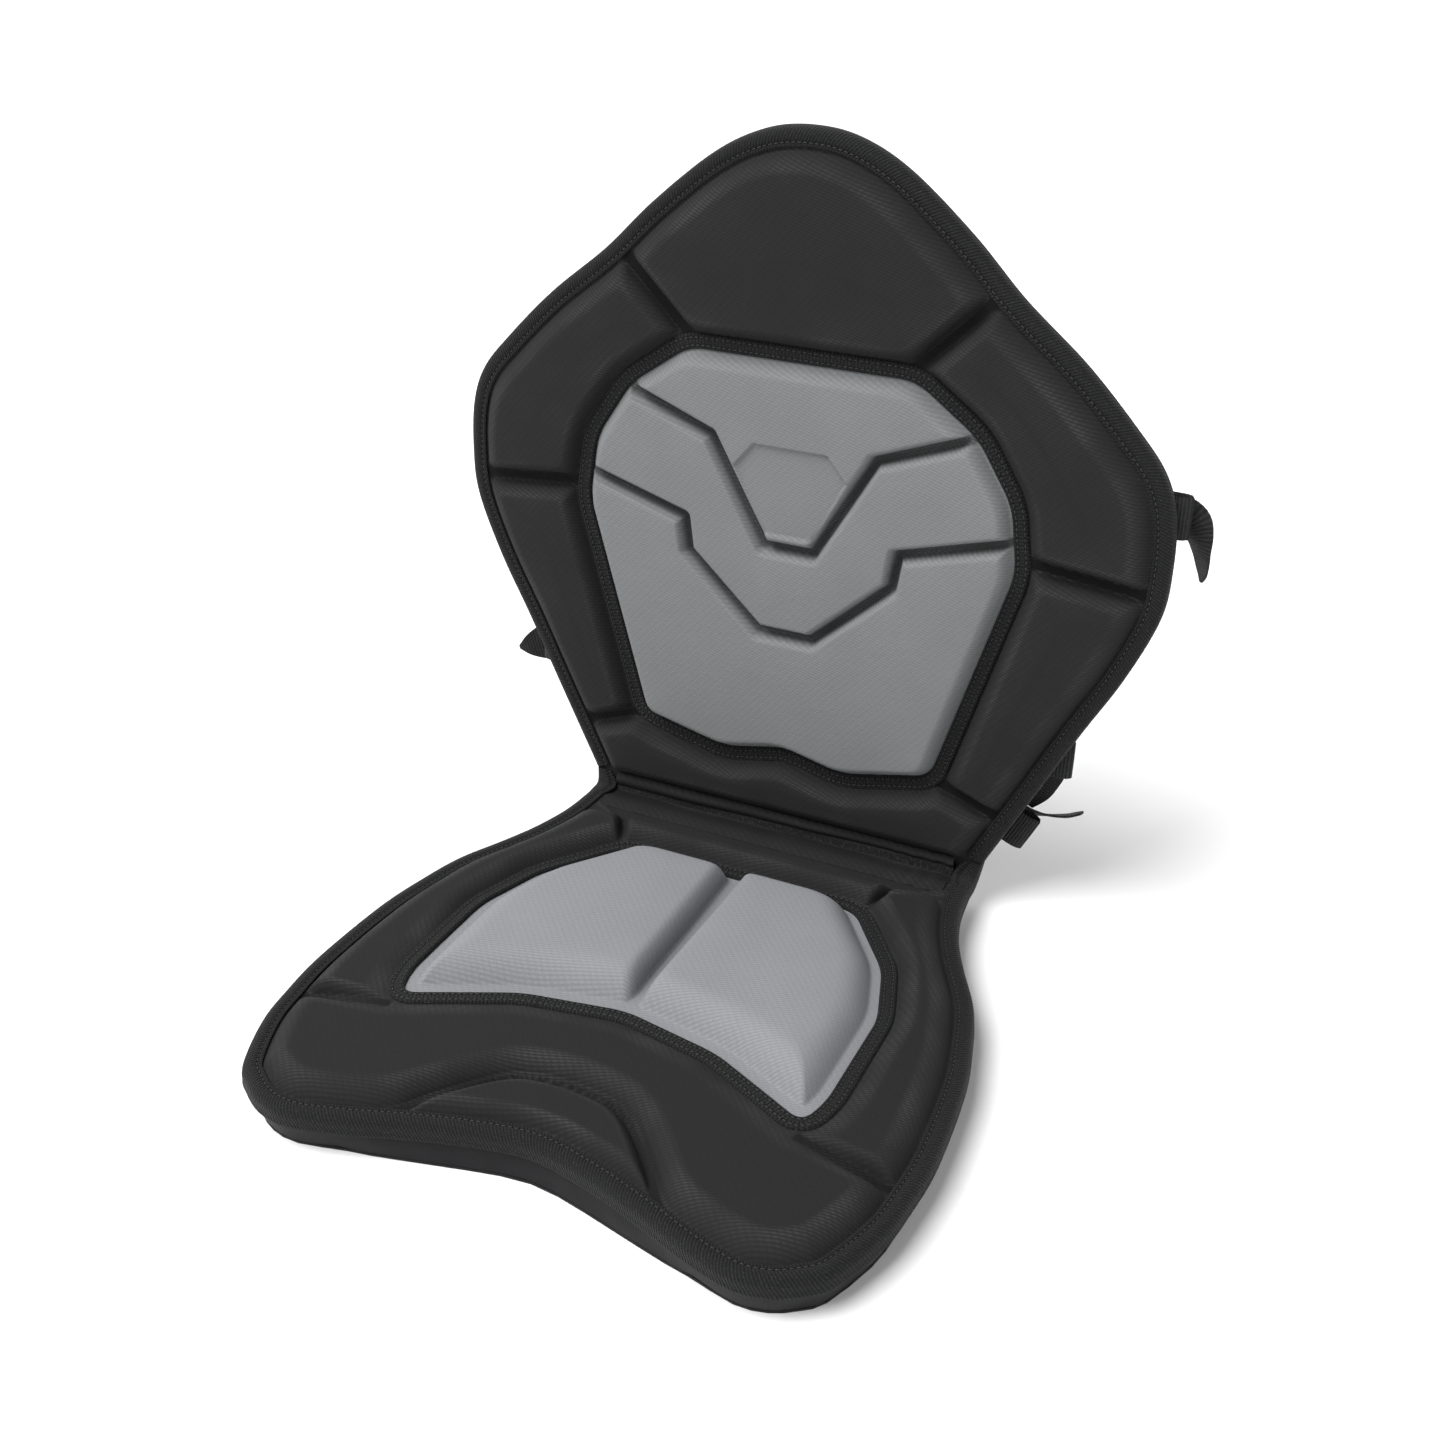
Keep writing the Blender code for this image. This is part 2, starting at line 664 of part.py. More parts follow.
def upright(centre_x):
    """Takes a profile's (height, depth) to the panel's Y and Z, and its thickness along X."""
    return Matrix.Translation((centre_x, 0, 0)) @ Matrix(
        ((0, 0, 1, 0), (1, 0, 0, 0), (0, 1, 0, 0), (0, 0, 0, 1)))


class StrapDepths:
    """Depths behind the backrest at which the webbing and hardware of a strap lie."""

    anchor = back_rear_face() - GAP - TAPE - GAP - WEBBING / 2
    wrap = BAR_RADIUS + BAR_GAP + WEBBING / 2
    inner = anchor - WEBBING - GAP
    bars = inner - wrap
    outer = bars - wrap
    tail = outer - WEBBING - GAP


def make_strap(level, height, run, drop, root):
    """One right-hand strap chain and its left-hand copy: anchor, ladder lock, strap and hook."""
    edge_x = edge_half_width(height)
    drop_x = edge_x - run
    end_height = height - drop
    anchor = strap_anchor(edge_x, height)
    lock = ladder_lock(edge_x, height)
    strap = strap_webbing(edge_x, height, drop_x, end_height)
    hook = snap_hook(drop_x, end_height)
    pieces = ((anchor, "strap_anchor", BLACK_TAPE), (lock, "ladder_lock", HARD_PLASTIC),
              (strap, "strap", BLACK_TAPE), (hook, "snap_hook", HARD_PLASTIC))
    for piece, kind, finish in pieces:
        dress(piece, f"{kind}_{level}_right", finish, root)
        mirrored(piece, f"{kind}_{level}_left", finish, root)


def strap_anchor(edge_x, height):
    """A webbing loop sewn under the rim: it turns back past the edge and holds the lock's bar."""
    depth = StrapDepths
    fold = (depth.anchor - depth.outer) / 2
    turn = ANCHOR_OUT - fold - WEBBING / 2
    fold_centre = (turn, (depth.anchor + depth.outer) / 2)
    bar_centre = (-LOCK_SETBACK, depth.bars)
    path = (
        [(-ANCHOR_IN, depth.anchor)]
        + arc(fold_centre, fold, 90, -90, 6)
        + arc(bar_centre, depth.wrap, 270, 90, 6)
        + [(0, depth.inner)]
    )
    half = WEBBING_WIDTH / 2
    return prism("anchor", [band(path, WEBBING)], -half, half, sideways(edge_x, height))


def ladder_lock(edge_x, height):
    """Three bars between two side rails."""
    half = WEBBING_WIDTH / 2 + BAR_GAP
    side = half + LOCK_SIDE
    depth = StrapDepths.bars
    first = edge_x - LOCK_SETBACK
    last = first - 2 * LOCK_BAR_PITCH
    lock = block("rail", (last - BAR_RADIUS, height + half, depth - BAR_RADIUS),
                 (first + BAR_RADIUS, height + side, depth + BAR_RADIUS))
    join(lock, block("rail", (last - BAR_RADIUS, height - side, depth - BAR_RADIUS),
                     (first + BAR_RADIUS, height - half, depth + BAR_RADIUS)))
    turned = Matrix.Rotation(math.pi / 2, 4, "X")
    length = 2 * half + LOCK_SIDE
    for index in range(3):
        place = Matrix.Translation((first - index * LOCK_BAR_PITCH, height, depth))
        join(lock, bar("bar", BAR_RADIUS - BAR_EASE, length, place @ turned))
    return lock


def strap_webbing(edge_x, height, drop_x, end_height):
    """The strap: its free tail, its way through the lock, a run inwards, and a drop to the hook."""
    depth = StrapDepths
    middle_bar = -LOCK_SETBACK - LOCK_BAR_PITCH
    last_bar = middle_bar - LOCK_BAR_PITCH
    half = WEBBING_WIDTH / 2
    corner = drop_x - edge_x
    path = [
        (TAIL_OUT, depth.tail), (-LOCK_SETBACK - 0.003, depth.tail),
        (middle_bar + 0.002, depth.outer), (middle_bar - 0.0015, depth.outer),
        (last_bar + 0.0015, depth.inner), (corner - half, depth.inner),
    ]
    run = prism("run", [band(path, WEBBING)], -half, half, sideways(edge_x, height))
    back = depth.inner - WEBBING * 0.9
    loop_depth = back - depth.wrap
    eye = (end_height, loop_depth)
    drop_path = (
        [(height + half, back), (end_height, back)]
        + arc(eye, depth.wrap, 90, 270, 6)[1:]
        + [(end_height + 0.018, loop_depth - depth.wrap)]
    )
    drop = prism("drop", [band(drop_path, WEBBING)], -half, half, upright(drop_x))
    return join(run, drop)


def hook_depth():
    """How far behind the front flange the middle of a hook lies."""
    return StrapDepths.inner - WEBBING * 0.9 - StrapDepths.wrap


def snap_hook(drop_x, end_height):
    """A moulded hook: a bar for the webbing, two rails, a neck and a split ring."""
    half = WEBBING_WIDTH / 2 + BAR_GAP
    side = half + LOCK_SIDE
    depth = hook_depth()
    thick = HOOK_THICKNESS / 2
    low = end_height - HOOK_NECK
    rails = block("rails", (drop_x - side, low, depth - thick),
                  (drop_x + side, end_height + BAR_RADIUS, depth + thick))
    cut(rails, block("eye", (drop_x - half, low + LOCK_SIDE, depth - 2 * thick),
                     (drop_x + half, end_height + 2 * BAR_RADIUS, depth + 2 * thick)))
    across = Matrix.Translation((drop_x, end_height, depth)) @ Matrix.Rotation(math.pi / 2, 4, "Y")
    join(rails, bar("bar", BAR_RADIUS - BAR_EASE, 2 * half + LOCK_SIDE, across))
    ring_y = low - HOOK_RING_RADIUS + LOCK_SIDE / 2
    centre = Matrix.Translation((drop_x, ring_y, depth))
    ring = bar("ring", HOOK_RING_RADIUS, HOOK_THICKNESS - GAP, centre, 24)
    cut(ring, bar("hole", HOOK_RING_RADIUS - HOOK_RING_WALL, 4 * thick, centre, 24))
    wide, deep = HOOK_SLIT / 2, HOOK_THICKNESS
    slit = block("slit", (0, -wide, -deep), (2 * HOOK_RING_RADIUS, wide, deep))
    slit.data.transform(centre @ Matrix.Rotation(math.radians(HOOK_SLIT_DEG), 4, "Z"))
    cut(ring, slit)
    return join(rails, ring)


def empty(name, location, tilt):
    """A named place that pieces are parented to."""
    obj = bpy.data.objects.new(name, None)
    PARTS.objects.link(obj)
    obj.location = location
    obj.rotation_euler.x = tilt
    return obj


for leftover in list(bpy.data.objects):
    bpy.data.objects.remove(leftover)
PARTS = bpy.data.collections.new("kayak_seat")
bpy.context.scene.collection.children.link(PARTS)
seat_root = empty("seat_frame", (0, 0, 0), 0)
fold = empty("backrest_fold", (0, FOLD_Y, FOLD_Z), math.radians(90 - LEAN_DEG))
make_seat(seat_root)
make_hinge_strip(seat_root)
make_backrest(fold)
make_strap("upper", UPPER_STRAP_HEIGHT, UPPER_STRAP_RUN, UPPER_STRAP_DROP, fold)
make_strap("lower", LOWER_STRAP_HEIGHT, LOWER_STRAP_RUN, LOWER_STRAP_DROP, fold)
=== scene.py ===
"""Dresses the kayak seat: moulded knit pads, bound edges, stitched tapes, straps and a pale studio."""

import logging
import math
from dataclasses import dataclass, field
from enum import Enum
from typing import Callable, Iterable, Sequence

import bmesh
import bpy
import numpy as np
from mathutils import Matrix, Vector
from mathutils.geometry import delaunay_2d_cdt


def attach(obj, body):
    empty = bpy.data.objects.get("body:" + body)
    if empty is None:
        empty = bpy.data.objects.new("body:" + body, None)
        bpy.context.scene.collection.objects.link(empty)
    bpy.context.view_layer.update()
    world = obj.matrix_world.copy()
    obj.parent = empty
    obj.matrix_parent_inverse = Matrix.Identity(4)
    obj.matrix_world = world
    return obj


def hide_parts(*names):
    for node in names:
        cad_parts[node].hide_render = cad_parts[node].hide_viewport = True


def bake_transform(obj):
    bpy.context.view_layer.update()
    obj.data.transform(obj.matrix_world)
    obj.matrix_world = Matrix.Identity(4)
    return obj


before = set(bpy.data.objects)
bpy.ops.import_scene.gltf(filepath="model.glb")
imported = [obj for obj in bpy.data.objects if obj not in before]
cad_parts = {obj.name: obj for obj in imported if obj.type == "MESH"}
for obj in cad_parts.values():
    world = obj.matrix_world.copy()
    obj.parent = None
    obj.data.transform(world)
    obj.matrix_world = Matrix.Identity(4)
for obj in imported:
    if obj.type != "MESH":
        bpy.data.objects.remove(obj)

LOG = logging.getLogger("kayak_seat")

SEAT = "seat"
BACK = "backrest"
CLOTH = "cloth"
# Name of the point attribute that holds the painted highlight on shoulders.
PAINTED_HIGHLIGHT = "stretch"
# Name of the point attribute that holds the painted shade in channels, grooves and valleys.
PAINTED_SHADE = "painted_shade"

# Strength of the painted highlight on shoulders.
PAINTED_HIGHLIGHT_GAIN = 6.75
SHARP_EDGE_DEG = 50

FOLD_Y = 0.180
FOLD_Z = 0.021
LEAN_DEG = 2.6
FOLD = Matrix.Translation((0, FOLD_Y, FOLD_Z)) @ Matrix.Rotation(math.radians(90 - LEAN_DEG), 4, "X")

Pair = tuple[float, float]
Triple = tuple[float, float, float]
Colour = tuple[float, float, float]
Height = Callable[[np.ndarray], np.ndarray]


# Outlines and distances


def smooth_run(points: Sequence[Pair], steps: int) -> np.ndarray:
    """Runs a smooth curve through an open run of points.

    Args:
        points: The points to pass through.
        steps: How many steps each stretch gets.

    Returns:
        The denser run, one point a row.
    """
    knots = np.array([points[0], *points, points[-1]], float)
    share = np.arange(steps)[:, None] / steps
    stretches = []
    for a, b, c, d in zip(knots, knots[1:], knots[2:], knots[3:]):
        cubic = (-a + 3 * b - 3 * c + d) * share**3
        square = (2 * a - 5 * b + 4 * c - d) * share**2
        stretches.append(0.5 * (2 * b + (c - a) * share + square + cubic))
    return np.vstack([*stretches, knots[-1:]])


def both_sides(half: Iterable[Pair]) -> list[Pair]:
    """Adds the left half to a right half that is listed from one end to the other."""
    right = list(half)
    return right + [(-x, y) for x, y in reversed(right) if x > 0]


def sized(shares: Iterable[Pair], width: float, length: float) -> list[Pair]:
    """Turns shares of the half width and the length into metres."""
    return [(x * width / 2, y * length) for x, y in shares]


def on_right(at: np.ndarray) -> np.ndarray:
    """The points, with those of the left half mirrored onto the right."""
    return np.column_stack([np.abs(at[:, 0]), at[:, 1]])


def unit_rows(rows: np.ndarray) -> np.ndarray:
    """The rows as vectors of length 1."""
    return rows / np.linalg.norm(rows, axis=1)[:, None]


def right_of(along: np.ndarray) -> np.ndarray:
    """The directions to the right of directions in the plane."""
    return np.stack([along[:, 1], -along[:, 0]], axis=1)


def distance_walked(run: np.ndarray) -> np.ndarray:
    """The distance walked along a run at each of its points."""
    return np.concatenate([[0], np.cumsum(np.linalg.norm(np.diff(run, axis=0), axis=1))])


def edge_distance_squared(at: np.ndarray, a: np.ndarray, b: np.ndarray) -> np.ndarray:
    """Squared distance from points to a straight edge.

    Args:
        at: The points, one a row.
        a: The edge's start.
        b: The edge's end.

    Returns:
        The squared distances.
    """
    edge = b - a
    share = np.clip(((at - a) @ edge) / max(edge @ edge, 1e-18), 0, 1)
    return ((at - a - share[:, None] * edge) ** 2).sum(axis=1)


def even_steps(run: np.ndarray, step: float, closed: bool) -> np.ndarray:
    """Spaces points evenly along a run.

    Args:
        run: The points of the run.
        step: The spacing aimed at, in metres.
        closed: Whether the run's end joins its start.

    Returns:
        The evenly spaced points; a closed run doesn't repeat its first.
    """
    ring = np.vstack([run, run[:1]]) if closed else run
    walked = distance_walked(ring)
    count = max(3, round(walked[-1] / step))
    marks = np.linspace(0, walked[-1], count + 1)[: count if closed else None]
    return np.stack([np.interp(marks, walked, ring[:, axis]) for axis in range(ring.shape[1])], axis=1)


@dataclass(frozen=True)
class Outline:
    """A closed, anticlockwise outline in the plane.

    Attributes:
        points: Its corners, one a row, in metres.
    """

    points: np.ndarray

    @classmethod
    def of(cls, points: np.ndarray) -> "Outline":
        """An outline turned anticlockwise.

        Args:
            points: The corners, one a row, in either direction.

        Returns:
            The outline.
        """
        ahead = np.roll(points, -1, axis=0)
        area = (points[:, 0] * ahead[:, 1] - points[:, 1] * ahead[:, 0]).sum()
        return cls(points if area > 0 else points[::-1])

    def depth(self, at: np.ndarray) -> np.ndarray:
        """How deep points lie inside the outline.

        Args:
            at: The points, one a row.

        Returns:
            The distance to the outline, negative outside it.
        """
        nearest = np.full(len(at), np.inf)
        inside = np.zeros(len(at), bool)
        for a, b in zip(self.points, np.roll(self.points, -1, axis=0)):
            nearest = np.minimum(nearest, edge_distance_squared(at, a, b))
            if a[1] != b[1]:
                edge = b - a
                spans = (a[1] > at[:, 1]) != (b[1] > at[:, 1])
                inside ^= spans & (at[:, 0] < a[0] + edge[0] * (at[:, 1] - a[1]) / edge[1])
        return np.where(inside, 1, -1) * np.sqrt(nearest)

    def outward(self) -> np.ndarray:
        """The outward normal at each point."""
        return right_of(unit_rows(np.roll(self.points, -1, axis=0) - np.roll(self.points, 1, axis=0)))

    def moved(self, distance: float) -> "Outline":
        """The outline moved outwards, or inwards where the distance is negative."""
        return Outline(self.points + self.outward() * distance)

    def evened(self, step: float) -> "Outline":
        """The outline with evenly spaced points."""
        return Outline(even_steps(self.points, step, True))


def rounded(points: Sequence[Pair], radius: float, steps: int = 7) -> np.ndarray:
    """Rounds the corners of a closed outline.

    Args:
        points: The corners.
        radius: The length cut from each side of a corner.
        steps: How many steps each arc gets.

    Returns:
        The rounded outline's points.
    """
    loop = np.array(points, float)
    run = []
    for a, b, c in zip(np.roll(loop, 1, axis=0), loop, np.roll(loop, -1, axis=0)):
        back, ahead = np.linalg.norm(a - b), np.linalg.norm(c - b)
        cut = min(radius, 0.45 * back, 0.45 * ahead)
        start, end = b + (a - b) * cut / back, b + (c - b) * cut / ahead
        for t in np.linspace(0, 1, steps + 1):
            run.append((1 - t) ** 2 * start + 2 * t * (1 - t) * b + t**2 * end)
    return np.array(run)


def run_distance(at: np.ndarray, run: np.ndarray) -> np.ndarray:
    """Distance from points to an open run.

    Args:
        at: The points, one a row.
        run: The corners of the run, one a row.

    Returns:
        The distances.
    """
    nearest = np.full(len(at), np.inf)
    for a, b in zip(run, run[1:]):
        nearest = np.minimum(nearest, edge_distance_squared(at, a, b))
    return np.sqrt(nearest)


def least(values: Sequence[np.ndarray], ease: float) -> np.ndarray:
    """The least of several values, with the creases between them eased.

    Args:
        values: The values to compare.
        ease: How far apart two values still blend.

    Returns:
        The eased least value.
    """
    lowest = values[0]
    for other in values[1:]:
        overlap = np.maximum(ease - np.abs(lowest - other), 0)
        lowest = np.minimum(lowest, other) - overlap**2 / (4 * ease)
    return lowest


def swell(share: np.ndarray, sharpness: float = 2.6) -> np.ndarray:
    """The profile of a moulded edge: 0 at its foot, rising steeply, then level from a share of 1."""
    return 1 - (1 - np.clip(share, 0, 1)) ** sharpness


def ease_step(value: np.ndarray) -> np.ndarray:
    """A smooth step from 0 to 1."""
    clipped = np.clip(value, 0, 1)
    return clipped * clipped * (3 - 2 * clipped)


# Meshes


def add_object(name: str, data: bpy.types.ID) -> bpy.types.Object:
    """Puts data in the scene as an object.

    Args:
        name: The object's name.
        data: Its mesh, curve, light or camera.

    Returns:
        The new object.
    """
    made = bpy.data.objects.new(name, data)
    bpy.context.scene.collection.objects.link(made)
    return made


def give_values(piece: bpy.types.Object, name: str, values: np.ndarray) -> None:
    """Stores one number for each point of a piece under a name."""
    layer = piece.data.attributes.new(name, "FLOAT", "POINT")
    layer.data.foreach_set("value", values.astype(np.float32))


def mirror_piece(piece: bpy.types.Object) -> None:
    """Mirrors a piece from the right side to the left."""
    piece.data.transform(Matrix.Diagonal((-1, 1, 1, 1)))
    piece.data.flip_normals()


def new_mesh(name: str, verts: np.ndarray, faces: Sequence[Sequence[int]],
             smooth: bool = True) -> bpy.types.Object:
    """Makes an object from points and faces.

    Args:
        name: The object's name.
        verts: The points, one a row.
        faces: The corners of each face.
        smooth: Whether faces are shaded smooth.

    Returns:
        The new object, in the scene.
    """
    mesh = bpy.data.meshes.new(name)
    mesh.from_pydata([tuple(v) for v in verts.tolist()], [], [tuple(f) for f in faces])
    mesh.validate()
    mesh.polygons.foreach_set("use_smooth", [smooth] * len(mesh.polygons))
    return add_object(name, mesh)


def give_uv(piece: bpy.types.Object, coords: np.ndarray) -> None:
    """Gives a piece a cloth UV map in metres from one pair of numbers for each point.

    Args:
        piece: The piece.
        coords: One pair for each point.
    """
    layer = piece.data.uv_layers.new(name=CLOTH)
    corners = np.empty(len(piece.data.loops), np.int32)
    piece.data.loops.foreach_get("vertex_index", corners)
    layer.data.foreach_set("uv", coords[corners].astype(np.float32).ravel())


def give_painted_highlight(piece: bpy.types.Object, share: float = 1.0) -> None:
    """Stores a painted highlight at each point: a lightening of the cloth on shoulders, where light catches
    it.

    Args:
        piece: The piece, with its face upwards.
        share: How much of the painted highlight is kept, which is most at a slope of 20 degrees.
    """
    normals = np.empty(len(piece.data.vertices) * 3, np.float32)
    piece.data.vertex_normals.foreach_get("vector", normals)
    lean = np.sqrt(np.clip(1 - normals[2::3] ** 2, 0, 1))
    # Painted highlight from the face's lean, lightest where it leans about 20 degrees.
    give_values(piece, PAINTED_HIGHLIGHT, PAINTED_HIGHLIGHT_GAIN * share * lean * (1 - lean) ** 2)


def join_pieces(name: str, pieces: Sequence[bpy.types.Object]) -> bpy.types.Object:
    """Joins several pieces into one object.

    Args:
        name: The joined piece's name.
        pieces: The pieces, which share their UV map's name.

    Returns:
        The joined piece.
    """
    with bpy.context.temp_override(active_object=pieces[0], object=pieces[0],
                                   selected_objects=list(pieces), selected_editable_objects=list(pieces)):
        bpy.ops.object.join()
    pieces[0].name = pieces[0].data.name = name
    return pieces[0]


@dataclass(frozen=True)
class SheetMesher:
    """Turns a flat region and a height into a closed, moulded piece.

    Attributes:
        outer: The region's outline.
        holes: Outlines left out of it.
        front: The height of the face at each point.
        back: The height of the flat back.
        coarse: The spacing of points where the face is smooth.
        finer: How many times finer the spacing is where it isn't.
        bend: How far a point may lie off its neighbours before the spacing is refined.
        painted_shade: The share of painted shade at each point, which darkens the cloth in channels where
            shade falls.
    """

    outer: Outline
    front: Height
    back: float
    holes: tuple[Outline, ...] = ()
    coarse: float = 0.0026
    finer: int = 3
    bend: float = 0.00006
    painted_shade: Height | None = None

    def inside(self, at: np.ndarray) -> np.ndarray:
        """How deep points lie in the region.

        Args:
            at: The points, one a row.

        Returns:
            The distance to the region's edge, negative outside it.
        """
        depth = self.outer.depth(at)
        for hole in self.holes:
            depth = np.minimum(depth, -hole.depth(at))
        return depth

    def grid(self) -> np.ndarray:
        """Points over the region, closer together where the face bends.

        Returns:
            The points, one a row.
        """
        low, high = self.outer.points.min(axis=0), self.outer.points.max(axis=0)
        xs = np.arange(low[0] - self.coarse, high[0] + self.coarse, self.coarse)
        ys = np.arange(low[1] - self.coarse, high[1] + self.coarse, self.coarse)
        mesh = np.stack(np.meshgrid(xs, ys, indexing="ij"), axis=-1)
        z = self.front(mesh.reshape(-1, 2)).reshape(mesh.shape[:2])
        around = sum(np.roll(z, shift, axis) for shift in (1, -1) for axis in (0, 1)) / 4
        rough = np.abs(z - around) > self.bend
        for axis in (0, 1):
            rough = rough | np.roll(rough, 1, axis) | np.roll(rough, -1, axis)
        plain = mesh[~rough]
        step = self.coarse / self.finer
        shifts = (np.arange(self.finer) - (self.finer - 1) / 2) * step
        cells = mesh[rough]
        fine = [cells + (dx, dy) for dx in shifts for dy in shifts]
        points = np.vstack([plain, *fine])
        return points[self.inside(points) > 0.35 * step]

    def triangles(self, points: np.ndarray, loops: Sequence[int]) -> tuple[np.ndarray, np.ndarray]:
        """Joins points into triangles that keep the loops' edges.

        Args:
            points: The loops' points first, then the rest.
            loops: How many points each loop has.

        Returns:
            The points and the triangles over the region.
        """
        edges, start = [], 0
        for count in loops:
            edges += [(start + i, start + (i + 1) % count) for i in range(count)]
            start += count
        found = delaunay_2d_cdt([Vector(p) for p in points.tolist()], edges, [], 1, 1e-8)
        flat = np.array([tuple(v) for v in found[0]])
        faces = np.array([tuple(f) for f in found[2]], int)
        within = np.array([min(origin, default=start) >= start for origin in found[3]])
        keep = within[faces].any(axis=1)
        keep[~keep] = self.inside(flat[faces[~keep]].mean(axis=1)) > 0
        return flat, faces[keep]

    def build(self, name: str) -> bpy.types.Object:
        """Makes the closed piece, with its cloth UV map, its painted highlight and, where given, its painted
        shade.

        Args:
            name: The piece's name.

        Returns:
            The piece, flat in its own plane.
        """
        rims = [outline.evened(self.coarse * 0.6).points for outline in (self.outer, *self.holes)]
        counts = [len(rim) for rim in rims]
        edge = np.vstack(rims)
        flat, faces = self.triangles(np.vstack([edge, self.grid()]), counts)
        under, back_faces = self.triangles(edge, counts)
        top = np.column_stack([flat, self.front(flat)])
        bottom = np.column_stack([under, np.full(len(under), self.back)])
        sides, start = [], 0
        for index, count in enumerate(counts):
            for i in range(count):
                a, b = start + i, start + (i + 1) % count
                quad = (a, a + len(top), b + len(top), b)
                sides.append(quad if index == 0 else quad[::-1])
            start += count
        below = (back_faces[:, ::-1] + len(top)).tolist()
        piece = new_mesh(name, np.vstack([top, bottom]), faces.tolist() + below + [q[::-1] for q in sides])
        give_uv(piece, np.vstack([flat, under]))
        # Painted highlight on the face's shoulders.
        give_painted_highlight(piece)
        # Painted shade in the channels, stored for each point.
        if self.painted_shade is not None:
            give_values(piece, PAINTED_SHADE, np.concatenate([self.painted_shade(flat), np.zeros(len(under))]))
        return piece


def swept(name: str, rings: np.ndarray, profile_lengths: np.ndarray, closed: bool) -> bpy.types.Object:
    """Skins a row of like cross-sections.

    Args:
        name: The piece's name.
        rings: The cross-sections: section, point, coordinate.
        profile_lengths: The distance walked round a cross-section at each of its points.
        closed: Whether the last section joins the first.

    Returns:
        The piece, with its cloth UV map running along and round it.
    """
    count, size = rings.shape[:2]
    faces = []
    for i in range(count if closed else count - 1):
        ahead = (i + 1) % count
        for j in range(size):
            beside = (j + 1) % size
            faces.append((i * size + j, ahead * size + j, ahead * size + beside, i * size + beside))
    if not closed:
        faces += [tuple(range(size)), tuple(range((count - 1) * size, count * size))[::-1]]
    piece = new_mesh(name, rings.reshape(-1, 3), faces)
    bmesh_clean(piece)
    walked = distance_walked(rings.mean(axis=1))
    give_uv(piece, np.stack([np.repeat(walked, size), np.tile(profile_lengths, count)], axis=1))
    piece.data.set_sharp_from_angle(angle=math.radians(SHARP_EDGE_DEG))
    return piece


def bmesh_clean(piece: bpy.types.Object) -> None:
    """Points a closed piece's faces outwards.

    Args:
        piece: The piece.
    """
    cage = bmesh.new()
    cage.from_mesh(piece.data)
    bmesh.ops.recalc_face_normals(cage, faces=cage.faces)
    cage.to_mesh(piece.data)
    cage.free()


# Shader expressions


class Wire:
    """A socket that can be used in Python arithmetic."""

    def __init__(self, pen: "Pen", socket: bpy.types.NodeSocket) -> None:
        """Wraps a socket of the pen's tree."""
        self.pen = pen
        self.socket = socket

    def __add__(self, other: "Wire | float") -> "Wire":
        """Adds."""
        return self.pen.math("ADD", self, other)

    def __sub__(self, other: "Wire | float") -> "Wire":
        """Subtracts."""
        return self.pen.math("SUBTRACT", self, other)

    def __rsub__(self, other: "Wire | float") -> "Wire":
        """Subtracts from a number."""
        return self.pen.math("SUBTRACT", other, self)

    def __mul__(self, other: "Wire | float") -> "Wire":
        """Multiplies."""
        return self.pen.math("MULTIPLY", self, other)

    def __truediv__(self, other: "Wire | float") -> "Wire":
        """Divides."""
        return self.pen.math("DIVIDE", self, other)

    def __pow__(self, other: "Wire | float") -> "Wire":
        """Raises to a power."""
        return self.pen.math("POWER", self, other)

    __radd__ = __add__
    __rmul__ = __mul__

    def wave(self, pitch: float) -> "Wire":
        """A wave from 0 to 1 that repeats at this pitch."""
        return self.pen.math("SINE", self * (2 * math.pi / pitch), 0.0) * 0.5 + 0.5

    def clipped(self) -> "Wire":
        """The value kept from 0 to 1."""
        return self.pen.math("MINIMUM", self.pen.math("MAXIMUM", self, 0.0), 1.0)


